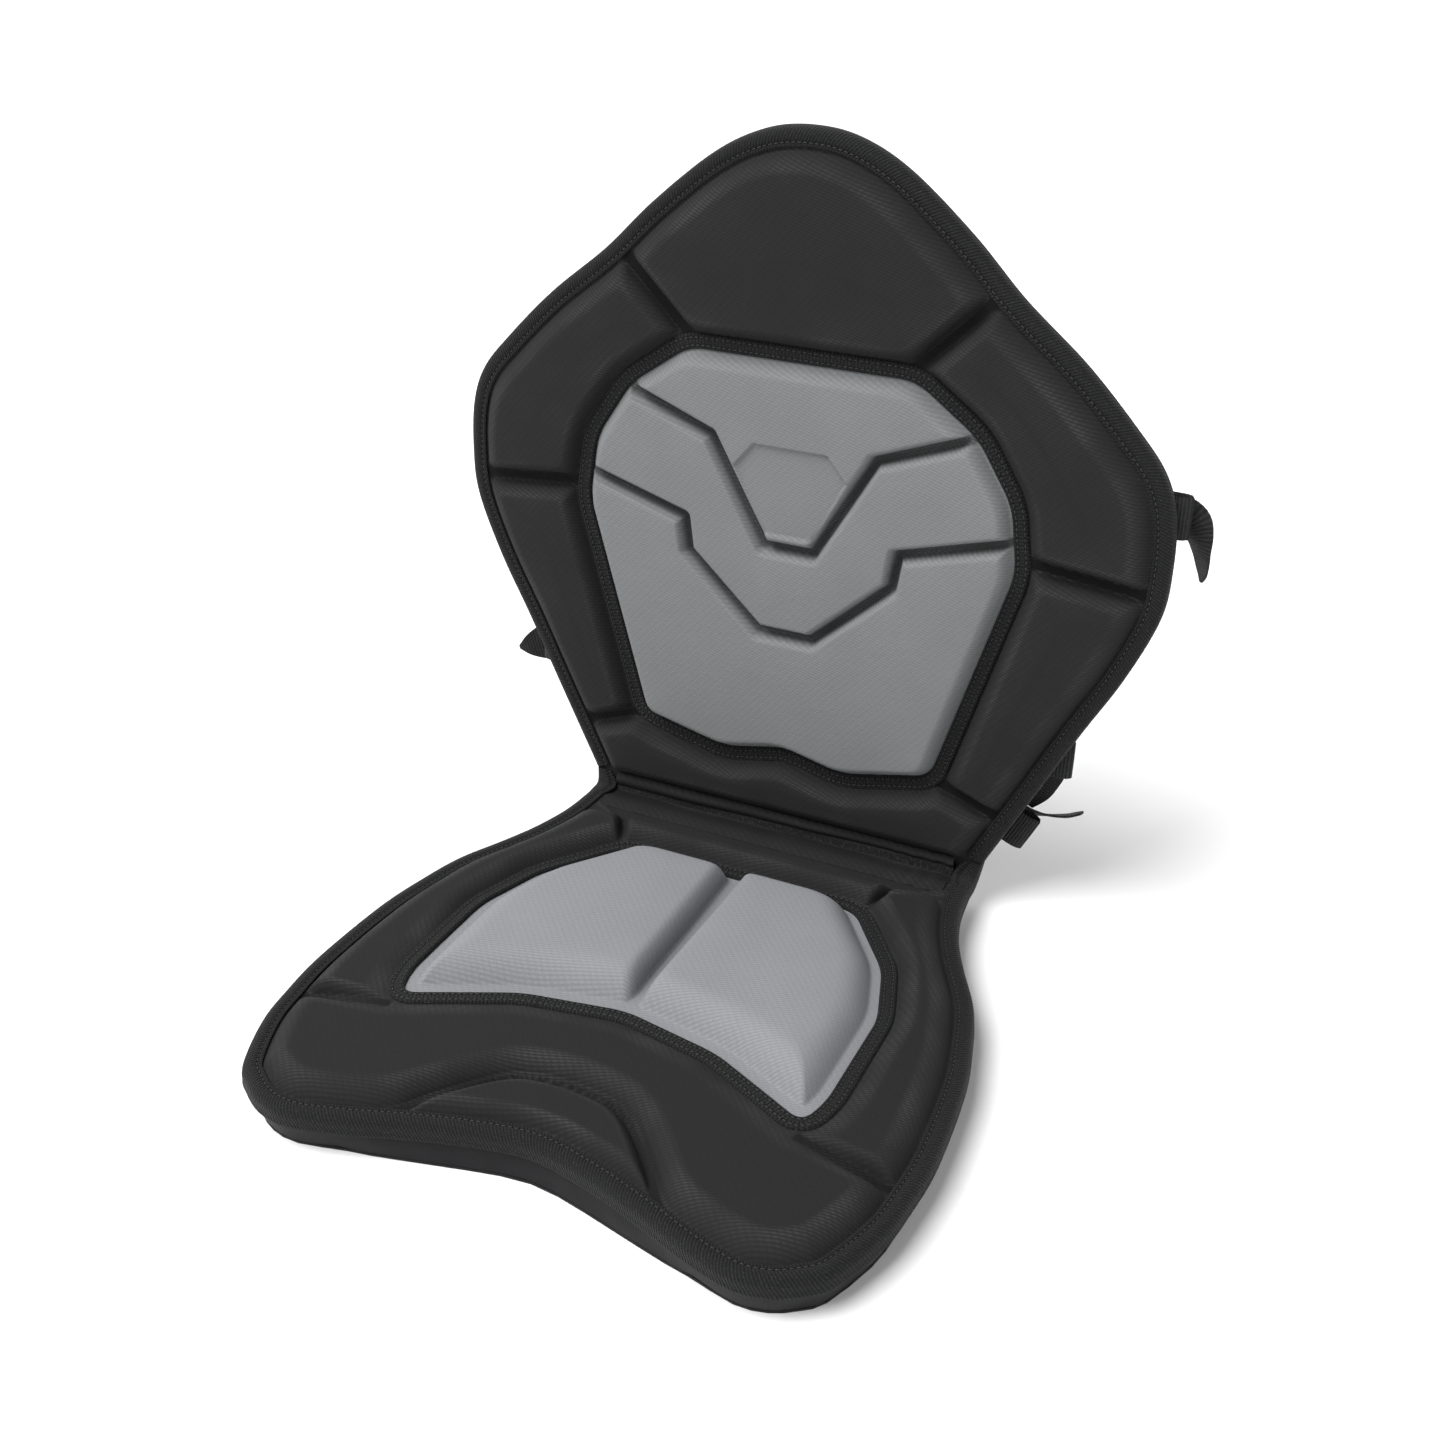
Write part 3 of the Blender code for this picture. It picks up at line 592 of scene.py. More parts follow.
class Pen:
    """Draws the nodes of one material."""

    def __init__(self, name: str) -> None:
        """Starts a material with an empty tree.

        Args:
            name: The material's name.
        """
        self.material = bpy.data.materials.new(name)
        self.material.use_nodes = True
        self.tree = self.material.node_tree
        self.tree.nodes.clear()

    def node(self, kind: str, settings: dict[str, object] | None = None, **inputs: object) -> bpy.types.Node:
        """Adds a node.

        Args:
            kind: The node's type.
            settings: Its properties, which are set first.
            **inputs: Values or links by socket name, with _ for a space.

        Returns:
            The node.
        """
        made = self.tree.nodes.new(kind)
        for key, value in (settings or {}).items():
            setattr(made, key, value)
        for key, value in inputs.items():
            self.feed(made.inputs[key.replace("_", " ")], value)
        return made

    def feed(self, socket: bpy.types.NodeSocket, value: object) -> None:
        """Links a wire to a socket, or sets the socket's own value.

        Args:
            socket: The input socket.
            value: A wire, or a plain value.
        """
        if isinstance(value, Wire):
            self.tree.links.new(value.socket, socket)
        else:
            socket.default_value = value

    def math(self, operation: str, a: "Wire | float", b: "Wire | float") -> Wire:
        """A Math node on two values.

        Args:
            operation: The node's operation.
            a: The first value.
            b: The second value.

        Returns:
            The result.
        """
        made = self.node("ShaderNodeMath", {"operation": operation})
        self.feed(made.inputs[0], a)
        self.feed(made.inputs[1], b)
        return Wire(self, made.outputs[0])

    def blend(self, a: Colour | Wire, b: Colour | Wire, share: Wire | float) -> Wire:
        """Mixes two colours.

        Args:
            a: The colour at a share of 0.
            b: The colour at a share of 1.
            share: The share of the second colour.

        Returns:
            The mixed colour.
        """
        made = self.node("ShaderNodeMix", {"data_type": "RGBA"})
        self.feed(made.inputs[0], share)
        for socket, value in ((made.inputs[6], a), (made.inputs[7], b)):
            self.feed(socket, (*value, 1) if isinstance(value, tuple) else value)
        return Wire(self, made.outputs[2])

    def cloth(self) -> tuple[Wire, Wire, Wire]:
        """The cloth UV map: its vector, and how far along and across a point lies, in metres.

        Returns:
            The vector, the distance along and the distance across, in metres.
        """
        uv = self.node("ShaderNodeUVMap", {"uv_map": CLOTH})
        split = self.node("ShaderNodeSeparateXYZ", Vector=Wire(self, uv.outputs[0]))
        return Wire(self, uv.outputs[0]), Wire(self, split.outputs[0]), Wire(self, split.outputs[1])

    def values(self, name: str) -> Wire:
        """The numbers stored for the points under this name."""
        return Wire(self, self.node("ShaderNodeAttribute", {"attribute_name": name}).outputs["Fac"])

    def place(self) -> Wire:
        """Object coordinates."""
        return Wire(self, self.node("ShaderNodeTexCoord").outputs["Object"])

    def noise(self, where: Wire, size: float, detail: float = 2.0, rough: float = 0.5) -> Wire:
        """Noise from 0 to 1 with features of this size in metres."""
        made = self.node("ShaderNodeTexNoise", Vector=where, Scale=1 / size, Detail=detail, Roughness=rough)
        return Wire(self, made.outputs[0])

    def bump(self, height: Wire, distance: float, strength: float = 1.0) -> Wire:
        """A normal from a height from 0 to 1 that stands this far proud."""
        made = self.node("ShaderNodeBump", Height=height, Distance=distance, Strength=strength)
        return Wire(self, made.outputs[0])

    def finish(self, **inputs: object) -> bpy.types.Material:
        """Ends the tree in a Principled shader with these inputs and returns the material.

        Args:
            **inputs: Values or links by socket name, with _ for a space.

        Returns:
            The material.
        """
        shader = self.node("ShaderNodeBsdfPrincipled")
        for key, value in inputs.items():
            whole = (*value, 1) if isinstance(value, tuple) and len(value) == 3 else value
            self.feed(shader.inputs[key.replace("_", " ")], whole)
        self.node("ShaderNodeOutputMaterial", Surface=Wire(self, shader.outputs[0]))
        return self.material


def tinted(colour: Colour, gain: float) -> Colour:
    """A colour made lighter or darker."""
    return tuple(min(1.0, channel * gain) for channel in colour)


@dataclass(frozen=True)
class KnitFinish:
    """Fine stretch knit laminated to foam, with a painted highlight on its shoulders and painted shade in its
    channels.

    Attributes:
        name: The material's name.
        colour: Its base colour.
        painted_highlight_gain: How much lighter the painted highlight makes it on shoulders, where light
            catches the cloth.
        course: The pitch of the knit's diagonal courses.
        sheen: The weight of its soft sheen.
    """

    name: str
    colour: Colour
    painted_highlight_gain: float
    course: float = 0.0018
    sheen: float = 0.25

    def material(self) -> bpy.types.Material:
        """Builds the material.

        Returns:
            The material.
        """
        pen = Pen(self.name)
        where, across, up = pen.cloth()
        # stretch holds the painted highlight on shoulders; the second value holds the painted shade in
        # channels and grooves.
        stretch, painted_shade = pen.values(PAINTED_HIGHLIGHT), pen.values(PAINTED_SHADE)
        courses = (up + across * 0.30).wave(self.course)
        dashes = (across - up * 0.9).wave(self.course * 2.6)
        loops = courses * (0.5 + dashes * 0.5)
        fuzz = pen.noise(where, 0.0012, 3.0, 0.7)
        cloud = pen.noise(where, 0.05, 2.0)
        tone = loops * 0.3 + fuzz * 0.5 + cloud * 0.2
        body = pen.blend(tinted(self.colour, 0.62), tinted(self.colour, 1.38), tone)
        # Painted shade: darkens the knit in channels and grooves, where shade falls.
        body = pen.blend(body, tinted(self.colour, 0.16), painted_shade * 0.95)
        # Painted highlight: lightens the knit on shoulders, unevenly, where light catches it.
        highlight_patches = ((pen.noise(where, 0.04, 1.0) - 0.36) * 3.2).clipped() * 0.75 + 0.25
        share = (stretch * highlight_patches * (0.06 + loops * fuzz * 0.85)).clipped()
        lit = pen.blend(body, tinted(self.colour, self.painted_highlight_gain), share)
        relief = loops * 0.5 + fuzz * 0.5
        return pen.finish(Base_Color=lit, Roughness=0.82 + cloud * 0.1, Normal=pen.bump(relief, 0.0003, 0.5),
                          Sheen_Weight=self.sheen, Sheen_Roughness=0.45,
                          Sheen_Tint=(*tinted(self.colour, 2.2), 1), Specular_IOR_Level=0.20)


@dataclass(frozen=True)
class TapeFinish:
    """Ribbed woven tape or webbing, with ribs across its length and flecks of light thread.

    Attributes:
        name: The material's name.
        colour: Its base colour.
        rib: The pitch of its ribs.
        slant: How much the ribs slant: their shift for each metre across.
        fleck: The strength of its light flecks.
        seams: Where its sewn seams run, as the distance walked round its cross-section.
    """

    name: str
    colour: Colour
    rib: float
    slant: float = 0.0
    fleck: float = 0.35
    seams: tuple[float, ...] = ()

    def material(self) -> bpy.types.Material:
        """Builds the material.

        Returns:
            The material.
        """
        pen = Pen(self.name)
        where, along, across = pen.cloth()
        ribs = (along + across * self.slant).wave(self.rib)
        threads = (across + along * 0.1).wave(self.rib * 0.6)
        weave = ribs * (0.55 + threads * 0.45)
        fuzz = pen.noise(where, 0.0012, 3.0, 0.75)
        flecks = ((fuzz - 0.53) * 6.0).clipped() * (0.3 + ribs * 0.7) * self.fleck
        worn = pen.noise(where, 0.03, 2.0)
        body = pen.blend(tinted(self.colour, 0.45), tinted(self.colour, 1.9), weave * 0.75 + worn * 0.25)
        lit = pen.blend(body, tinted(self.colour, 8.0), flecks)
        for seam in self.seams:
            off = pen.math("ABSOLUTE", across - seam, 0.0)
            lit = pen.blend(tinted(self.colour, 0.3), lit, (off / 0.0009 - 0.25).clipped())
        return pen.finish(Base_Color=lit, Roughness=0.62 + worn * 0.18,
                          Normal=pen.bump(weave * 0.8 + fuzz * 0.2, 0.0006, 0.8), Specular_IOR_Level=0.12,
                          Sheen_Weight=0.04, Sheen_Roughness=0.5)


@dataclass(frozen=True)
class WovenFinish:
    """Plain woven nylon, on object coordinates.

    Attributes:
        name: The material's name.
        colour: Its base colour.
        thread: The pitch of its threads.
    """

    name: str
    colour: Colour
    thread: float = 0.0012

    def material(self) -> bpy.types.Material:
        """Builds the material.

        Returns:
            The material.
        """
        pen = Pen(self.name)
        place = pen.place()
        split = pen.node("ShaderNodeSeparateXYZ", Vector=place)
        x, y, z = (Wire(pen, split.outputs[i]) for i in range(3))
        warp, weft = (x + z * 0.7).wave(self.thread), (y - z * 0.7 + x * 0.02).wave(self.thread)
        weave = warp * (1 - weft) + weft * (1 - warp)
        fuzz = pen.noise(place, 0.0012, 3.0, 0.7)
        creases = pen.noise(place, 0.045, 3.0, 0.55)
        tone = weave * 0.4 + fuzz * 0.3 + creases * 0.3
        body = pen.blend(tinted(self.colour, 0.65), tinted(self.colour, 1.5), tone)
        return pen.finish(Base_Color=body, Roughness=0.55 + creases * 0.25,
                          Normal=pen.bump(weave * 0.25 + fuzz * 0.1 + creases * 2.2, 0.0006, 0.6),
                          Specular_IOR_Level=0.15, Sheen_Weight=0.03)


@dataclass(frozen=True)
class MouldedFinish:
    """Moulded plastic or foam with a fine grain, on object coordinates.

    Attributes:
        name: The material's name.
        colour: Its base colour.
        gloss: How smooth it is, from 0 to 1.
        grain: The size of its grain.
    """

    name: str
    colour: Colour
    gloss: float
    grain: float = 0.0007

    def material(self) -> bpy.types.Material:
        """Builds the material.

        Returns:
            The material.
        """
        pen = Pen(self.name)
        place = pen.place()
        grain = pen.noise(place, self.grain, 3.0, 0.6)
        scuffs = pen.noise(place, 0.011, 4.0, 0.65)
        body = pen.blend(tinted(self.colour, 0.8), tinted(self.colour, 1.6), grain * 0.4 + scuffs * 0.6)
        return pen.finish(Base_Color=body, Roughness=0.72 - 0.45 * self.gloss + scuffs * 0.18,
                          Normal=pen.bump(grain, 0.00008, 0.6))


TAPE_BLACK = (0.0088, 0.0090, 0.0093)


class Finishes:
    """Every material of the seat, built once."""

    def __init__(self) -> None:
        """Builds the materials."""
        # The third number of each knit is how much lighter its painted highlight on shoulders makes it.
        self.black_knit = KnitFinish("black_knit", (0.0134, 0.0134, 0.0136), 5.2, sheen=0.14).material()
        self.back_grey = KnitFinish("back_grey_knit", (0.166, 0.172, 0.175), 1.25, sheen=0.05).material()
        self.seat_grey = KnitFinish("seat_grey_knit", (0.216, 0.219, 0.230), 1.15, sheen=0.05).material()
        self.tape = TapeFinish("edge_tape", TAPE_BLACK, 0.0019, 0.5, 0.45, (0.0039,)).material()
        self.inlay = TapeFinish("inlay_tape", TAPE_BLACK, 0.0021, 0.0, 0.60, (0.0041, 0.0088)).material()
        self.fold_tape = TapeFinish("fold_tape", (0.0120, 0.0122, 0.0125), 0.0012, 0.3, 0.80).material()
        self.webbing = TapeFinish("webbing", (0.0150, 0.0152, 0.0158), 0.0019, 0.0, 0.3).material()
        self.nylon = WovenFinish("shell_nylon", (0.0088, 0.0088, 0.0098)).material()
        self.thread = MouldedFinish("thread", (0.024, 0.025, 0.026), 0.15, 0.0005).material()
        self.plastic = MouldedFinish("buckle_plastic", (0.014, 0.014, 0.0145), 0.7).material()
        self.foam = MouldedFinish("core_foam", (0.060, 0.060, 0.060), 0.0, 0.0015).material()
        self.board = MouldedFinish("stiffener_board", (0.100, 0.100, 0.100), 0.5).material()


# Stitching


@dataclass(frozen=True)
class Stitching:
    """Rows of stitches along runs of points, made with Geometry Nodes.

    Attributes:
        pitch: The spacing of the stitches.
        length: The length of one stitch.
        thickness: The thickness of the thread.
    """

    pitch: float = 0.0034
    length: float = 0.0026
    thickness: float = 0.0007

    def tree(self, material: bpy.types.Material) -> bpy.types.NodeTree:
        """Builds the node tree that lays stitches along a curve.

        Args:
            material: The thread's material.

        Returns:
            The node tree, with Pitch, Length and Thickness inputs.
        """
        group = bpy.data.node_groups.new("stitch_row", "GeometryNodeTree")
        sockets = group.interface
        sockets.new_socket("Rows", in_out="INPUT", socket_type="NodeSocketGeometry")
        for label in ("Pitch", "Length", "Thickness"):
            sockets.new_socket(label, in_out="INPUT", socket_type="NodeSocketFloat")
        sockets.new_socket("Stitches", in_out="OUTPUT", socket_type="NodeSocketGeometry")
        start = group.nodes.new("NodeGroupInput")
        end = group.nodes.new("NodeGroupOutput")
        points = group.nodes.new("GeometryNodeCurveToPoints")
        points.mode = "LENGTH"
        bead = group.nodes.new("GeometryNodeMeshUVSphere")
        bead.inputs["Segments"].default_value = 6
        bead.inputs["Rings"].default_value = 4
        bead.inputs["Radius"].default_value = 0.5
        size = group.nodes.new("ShaderNodeCombineXYZ")
        stretch = group.nodes.new("GeometryNodeTransform")
        place = group.nodes.new("GeometryNodeInstanceOnPoints")
        real = group.nodes.new("GeometryNodeRealizeInstances")
        smooth = group.nodes.new("GeometryNodeSetShadeSmooth")
        paint = group.nodes.new("GeometryNodeSetMaterial")
        paint.inputs["Material"].default_value = material
        for source, output, target, taken in (
            (start, "Rows", points, "Curve"), (start, "Pitch", points, "Length"),
            (start, "Thickness", size, 0), (start, "Thickness", size, 1), (start, "Length", size, 2),
            (bead, "Mesh", stretch, "Geometry"),
            (size, 0, stretch, "Scale"), (points, "Points", place, "Points"),
            (points, "Rotation", place, "Rotation"), (stretch, "Geometry", place, "Instance"),
            (place, "Instances", real, "Geometry"), (real, "Geometry", smooth, "Geometry"),
            (smooth, "Geometry", paint, "Geometry"), (paint, "Geometry", end, "Stitches"),
        ):
            group.links.new(source.outputs[output], target.inputs[taken])
        return group

    def sew(self, name: str, rows: Sequence[tuple[np.ndarray, bool]],
            material: bpy.types.Material) -> bpy.types.Object:
        """Sews rows of stitches and bakes them to a plain mesh.

        Args:
            name: The piece's name.
            rows: Each row's points in the row frame, and whether it is closed.
            material: The thread's material.

        Returns:
            The stitches as one piece.
        """
        curve = bpy.data.curves.new(name, "CURVE")
        curve.dimensions = "3D"
        for run, closed in rows:
            spline = curve.splines.new("POLY")
            spline.points.add(len(run) - 1)
            spline.points.foreach_set("co", np.column_stack([run, np.ones(len(run))]).ravel())
            spline.use_cyclic_u = closed
        guide = add_object(name + "_rows", curve)
        modifier = guide.modifiers.new("stitches", "NODES")
        modifier.node_group = self.tree(material)
        sizes = {"Pitch": self.pitch, "Length": self.length, "Thickness": self.thickness}
        for item in modifier.node_group.interface.items_tree:
            if item.in_out == "INPUT" and item.name in sizes:
                modifier[item.identifier] = sizes[item.name]
        bpy.context.view_layer.update()
        graph = bpy.context.evaluated_depsgraph_get()
        mesh = bpy.data.meshes.new_from_object(guide.evaluated_get(graph))
        bpy.data.objects.remove(guide)
        mesh.name = name
        return add_object(name, mesh)


def settle(piece: bpy.types.Object, body: str, material: bpy.types.Material | None,
           replaced: Sequence[str] = ()) -> bpy.types.Object:
    """Finishes a piece: its material, its body and what it stands for.

    Args:
        piece: The piece, in the row frame.
        body: The body it rides on.
        material: Its material, or None to keep what it has.
        replaced: The CAD nodes that it stands for.

    Returns:
        The piece.
    """
    if material is not None:
        piece.data.materials.clear()
        piece.data.materials.append(material)
    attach(piece, body)
    if replaced:
        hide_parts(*replaced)
    LOG.info("%s: %d faces on %s", piece.name, len(piece.data.polygons), body)
    return piece


# Sub-assemblies


@dataclass
class Binding:
    """Tape folded over an edge, swept along it.

    Attributes:
        edge: The run of the edge, in its plane.
        outward: The outward direction at each point of the run.
        profile: The tape's cross-section as (outward, height) pairs, closed.
        closed: Whether the edge's end joins its start.
    """

    edge: np.ndarray
    outward: np.ndarray
    profile: np.ndarray
    closed: bool = False

    def rings(self, lift: Height | None = None) -> np.ndarray:
        """The cross-sections along the edge, raised by a height at each of their points.

        Args:
            lift: The height that is added at a place in the plane, if any.

        Returns:
            The cross-sections: section, point, coordinate.
        """
        flat = self.edge[:, None, :] + self.outward[:, None, :] * self.profile[None, :, :1]
        z = np.broadcast_to(self.profile[None, :, 1], flat.shape[:2]).copy()
        if lift is not None:
            z += lift(flat.reshape(-1, 2)).reshape(z.shape)
        return np.dstack([flat, z])

    def build(self, name: str, lift: Height | None = None) -> bpy.types.Object:
        """Makes the tape."""
        return swept(name, self.rings(lift), distance_walked(self.profile), self.closed)

    def row(self, out: float, height: float, lift: Height | None = None) -> np.ndarray:
        """A run of points along the tape, for stitches.

        Args:
            out: How far outward of the edge it runs.
            height: Its height.
            lift: The height that is added at a place in the plane, if any.

        Returns:
            The points, one a row.
        """
        flat = self.edge + self.outward * out
        z = np.full(len(flat), height)
        if lift is not None:
            z += lift(flat)
        return np.column_stack([flat, z])


INLAY_SEAMS = (0.0022, 0.0068)
INLAY_SEAM_HEIGHT = 0.0016


def inlay_section(foot: float) -> np.ndarray:
    """The cross-section of the tape round an inset.

    Args:
        foot: The height of its two edges.

    Returns:
        Its points as (outward, height) pairs.
    """
    return np.array([
        (-0.0004, foot), (0.0000, 0.0011), (0.0010, 0.0018), (0.0022, 0.0013), (0.0045, 0.0019),
        (0.0068, 0.0013), (0.0080, 0.0018), (0.0090, 0.0011), (0.0094, foot),
    ])


def open_edge(half: Sequence[Pair], width: float, length: float,
              reach: float) -> tuple[np.ndarray, np.ndarray]:
    """The bound run of an edge, which leaves the straight end open.

    Args:
        half: The outline's right half in shares.
        width: The whole width.
        length: The whole length.
        reach: The spacing of the points.

    Returns:
        The run's points and their outward directions.
    """
    run = even_steps(smooth_run(both_sides(sized(half, width, length)), 8), reach, False)
    return run, right_of(unit_rows(np.gradient(run, axis=0)))


PANEL_BACK = -0.004
SEAT_PANEL_BACK = 0.021


@dataclass
class Backrest:
    """The folding backrest: moulded black and grey knit over foam, bound all round."""

    finishes: Finishes
    width: float = 0.441
    height: float = 0.438
    edge_half: tuple[Pair, ...] = (
        (0.587, 0.007), (0.612, 0.037), (0.667, 0.094), (0.744, 0.174), (0.830, 0.265), (0.921, 0.356),
        (0.989, 0.447), (1.000, 0.516), (0.989, 0.584), (0.950, 0.635), (0.866, 0.685), (0.730, 0.753),
        (0.562, 0.822), (0.422, 0.890), (0.254, 0.958), (0.122, 0.991), (0.000, 1.000),
    )
    inset_half: tuple[Pair, ...] = (
        (0.000, 0.142), (0.181, 0.121), (0.440, 0.151), (0.621, 0.475), (0.594, 0.566), (0.490, 0.648),
        (0.317, 0.710),
    )
    channels: tuple[tuple[Pair, Pair], ...] = (
        ((0.310, 0.725), (0.600, 0.870)), ((0.600, 0.497), (1.050, 0.475)), ((0.390, 0.160), (0.680, 0.105)),
    )
    outer_chevron: tuple[Pair, ...] = ((0.700, 0.533), (0.310, 0.476), (0.297, 0.428), (0.078, 0.327))
    inner_chevron: tuple[Pair, ...] = ((0.610, 0.672), (0.234, 0.600), (0.071, 0.455))
    plate: tuple[Pair, ...] = ((0.105, 0.600), (0.163, 0.564), (0.071, 0.473))
    pad_margin: float = 0.0105
    pad_rise: float = 0.0095
    block_rise: float = 0.0100
    groove_depth: float = 0.0092
    groove_half: float = 0.0021
    groove_slope: float = 0.0048
    block_slope: float = 0.0080
    plate_depth: float = 0.0021
    channel_half: float = 0.0034
    channel_slope: float = 0.0085
    rim_slope: float = 0.0120
    inset_slope: float = 0.0095
    foot_slope: float = 0.010
    pad_crown: float = 0.0018
    inset_crown: float = 0.0014
    tape_width: float = 0.009
    foot: float = 0.0135
    rear: float = -0.0091
    edge: Outline = field(init=False)
    inset: Outline = field(init=False)

    def __post_init__(self) -> None:
        """Works out the outlines."""
        self.edge = Outline.of(smooth_run(self.sized(both_sides(self.edge_half)), 5))
        self.inset = Outline.of(rounded(self.sized(both_sides(self.inset_half)), 0.010))

    def sized(self, shares: Iterable[Pair]) -> list[Pair]:
        """Turns shares of the half width and the height into metres."""
        return sized(shares, self.width, self.height)

    def line_distance(self, at: np.ndarray, line: Iterable[Pair]) -> np.ndarray:
        """The distance to a line of shares on the right half, and to its mirror image."""
        return run_distance(on_right(at), np.array(self.sized(line)))

    def channel(self, at: np.ndarray) -> np.ndarray:
        """The distance to the nearest channel between the black pads."""
        return np.min([self.line_distance(at, line) for line in self.channels], axis=0)

    def groove(self, at: np.ndarray) -> np.ndarray:
        """The distance to the nearest groove of the grey inset."""
        lines = [[*line, (0.0, line[-1][1])] for line in (self.outer_chevron, self.inner_chevron)]
        return np.min([self.line_distance(at, line) for line in lines], axis=0)

    def panel_height(self, at: np.ndarray) -> np.ndarray:
        """The height of the black panel's face at each point.

        Args:
            at: The points, one a row.

        Returns:
            The heights.
        """
        mirror = on_right(at)
        rim = (self.edge.depth(mirror) - self.pad_margin) / self.rim_slope
        inner = (-self.inset.depth(mirror) - self.tape_width - 0.0010) / self.inset_slope
        foot = (mirror[:, 1] - self.foot) / self.foot_slope
        channel = (self.channel(at) - self.channel_half) / self.channel_slope
        pad = least([rim, inner, foot, channel], 0.55)
        crown = self.pad_crown * (1 - np.exp(-np.maximum(pad, 0) * 0.0085 / 0.020))
        return self.pad_rise * swell(pad, 2.2) + crown

    def inset_height(self, at: np.ndarray) -> np.ndarray:
        """The height of the grey inset's face at each point.

        Args:
            at: The points, one a row.

        Returns:
            The heights.
        """
        mirror = on_right(at)
        depth, groove = self.inset.depth(mirror), self.groove(at)
        floor = 1 - self.groove_depth / self.block_rise
        cut = floor + (1 - floor) * swell((groove - self.groove_half) / self.groove_slope, 2.2)
        block = least([swell((depth - 0.0012) / self.block_slope, 2.1), cut], 0.12)
        plate = Outline.of(np.array(self.sized(both_sides(self.plate))))
        pocket = self.plate_depth * ease_step((plate.depth(mirror) + 0.0004) / 0.0018)
        crown = self.inset_crown * (1 - np.exp(-np.maximum(np.minimum(groove, depth), 0) / 0.016))
        return np.maximum(self.block_rise * block - pocket + crown, 0.0)

    def rear_height(self, at: np.ndarray) -> np.ndarray:
        """The height of the rear cover's outside, pulled in slightly at its rim, in a mirrored plane.

        Args:
            at: The points, one a row.

        Returns:
            The heights.
        """
        rim = self.edge.depth(np.column_stack([-at[:, 0], at[:, 1]]))
        slack = 0.0003 * np.sin(at[:, 0] * 61 + 1.3) * np.sin(at[:, 1] * 47 + at[:, 0] * 18)
        return 0.0004 * swell(rim / 0.02) + slack * ease_step(rim / 0.03)

    def build(self) -> None:
        """Makes every piece of the backrest."""
        finishes = self.finishes
        window = self.inset.moved(self.tape_width / 2)
        # Painted shade darkens the knit along the channels between the black pads.
        panel = SheetMesher(self.edge, self.panel_height, PANEL_BACK, (window,),
                            painted_shade=lambda at: np.clip(1.9 - self.channel(at) / 0.0030, 0, 1))
        self.stand(panel.build("back_panel_knit"), finishes.black_knit, ["back_front_panel"])
        # Painted shade darkens the knit along the grooves of the grey inset.
        inset = SheetMesher(window.moved(-0.0003), self.inset_height, PANEL_BACK, bend=0.00005,
                            painted_shade=lambda at: np.clip(2.4 - self.groove(at) / 0.0014, 0, 1))
        self.stand(inset.build("back_inset_knit"), finishes.back_grey, ["back_grey_pad"])
        cover = SheetMesher(self.edge, self.rear_height, -0.0018, coarse=0.004).build("back_rear_nylon")
        cover.data.transform(Matrix.Translation((0, 0, self.rear)) @ Matrix.Rotation(math.pi, 4, "Y"))
        self.stand(cover, finishes.nylon, ["back_rear_cover"])
        self.bind()

    def stand(self, piece: bpy.types.Object, material: bpy.types.Material,
              replaced: Sequence[str]) -> bpy.types.Object:
        """Stands a flat piece up on the fold line and settles it on the backrest."""
        piece.data.transform(FOLD)
        return settle(piece, BACK, material, replaced)

    def bind(self) -> None:
        """Makes the edge binding, the inlay tape and their stitches."""
        finishes = self.finishes
        run, outward = open_edge(self.edge_half, self.width, self.height, 0.0025)
        above = run[:, 1] > self.foot + 0.0003
        run, outward = run[above], outward[above]
        front, back = 0.0003, self.rear - 0.0003
        section = np.array([
            (-0.0090, front), (-0.0092, front + 0.0010), (-0.0084, front + 0.0015), (-0.0074, front + 0.0013),
            (-0.0066, front + 0.0008), (-0.0058, front + 0.0013), (-0.0040, front + 0.0019),
            (-0.0018, front + 0.0017), (0.0002, front + 0.0009), (0.0014, front - 0.0010), (0.0018, -0.0030),
            (0.0018, back + 0.0030), (0.0014, back + 0.0008), (0.0002, back - 0.0008),
            (-0.0020, back - 0.0013), (-0.0084, back - 0.0011), (-0.0090, back), (0.0003, back),
            (0.0004, -0.0045), (0.0003, front),
        ])
        tape = Binding(run, outward, section)
        self.stand(tape.build("back_binding_tape"), finishes.tape, ["back_edge_binding"])
        inset = self.inset.evened(0.0022)
        inlay = Binding(inset.points, inset.outward(), inlay_section(-0.0004), True)
        self.stand(inlay.build("back_inlay_tape"), finishes.inlay, ["back_inlay_binding"])
        rows = [(tape.row(-0.0066, front + 0.0012), False), (tape.row(-0.0062, back - 0.0014), False)]
        rows += [(inlay.row(out, INLAY_SEAM_HEIGHT), True) for out in INLAY_SEAMS]
        turned = [((np.column_stack([row, np.ones(len(row))]) @ np.array(FOLD).T)[:, :3], closed)
                  for row, closed in rows]
        settle(Stitching().sew("back_stitches", turned, finishes.thread), BACK, None)


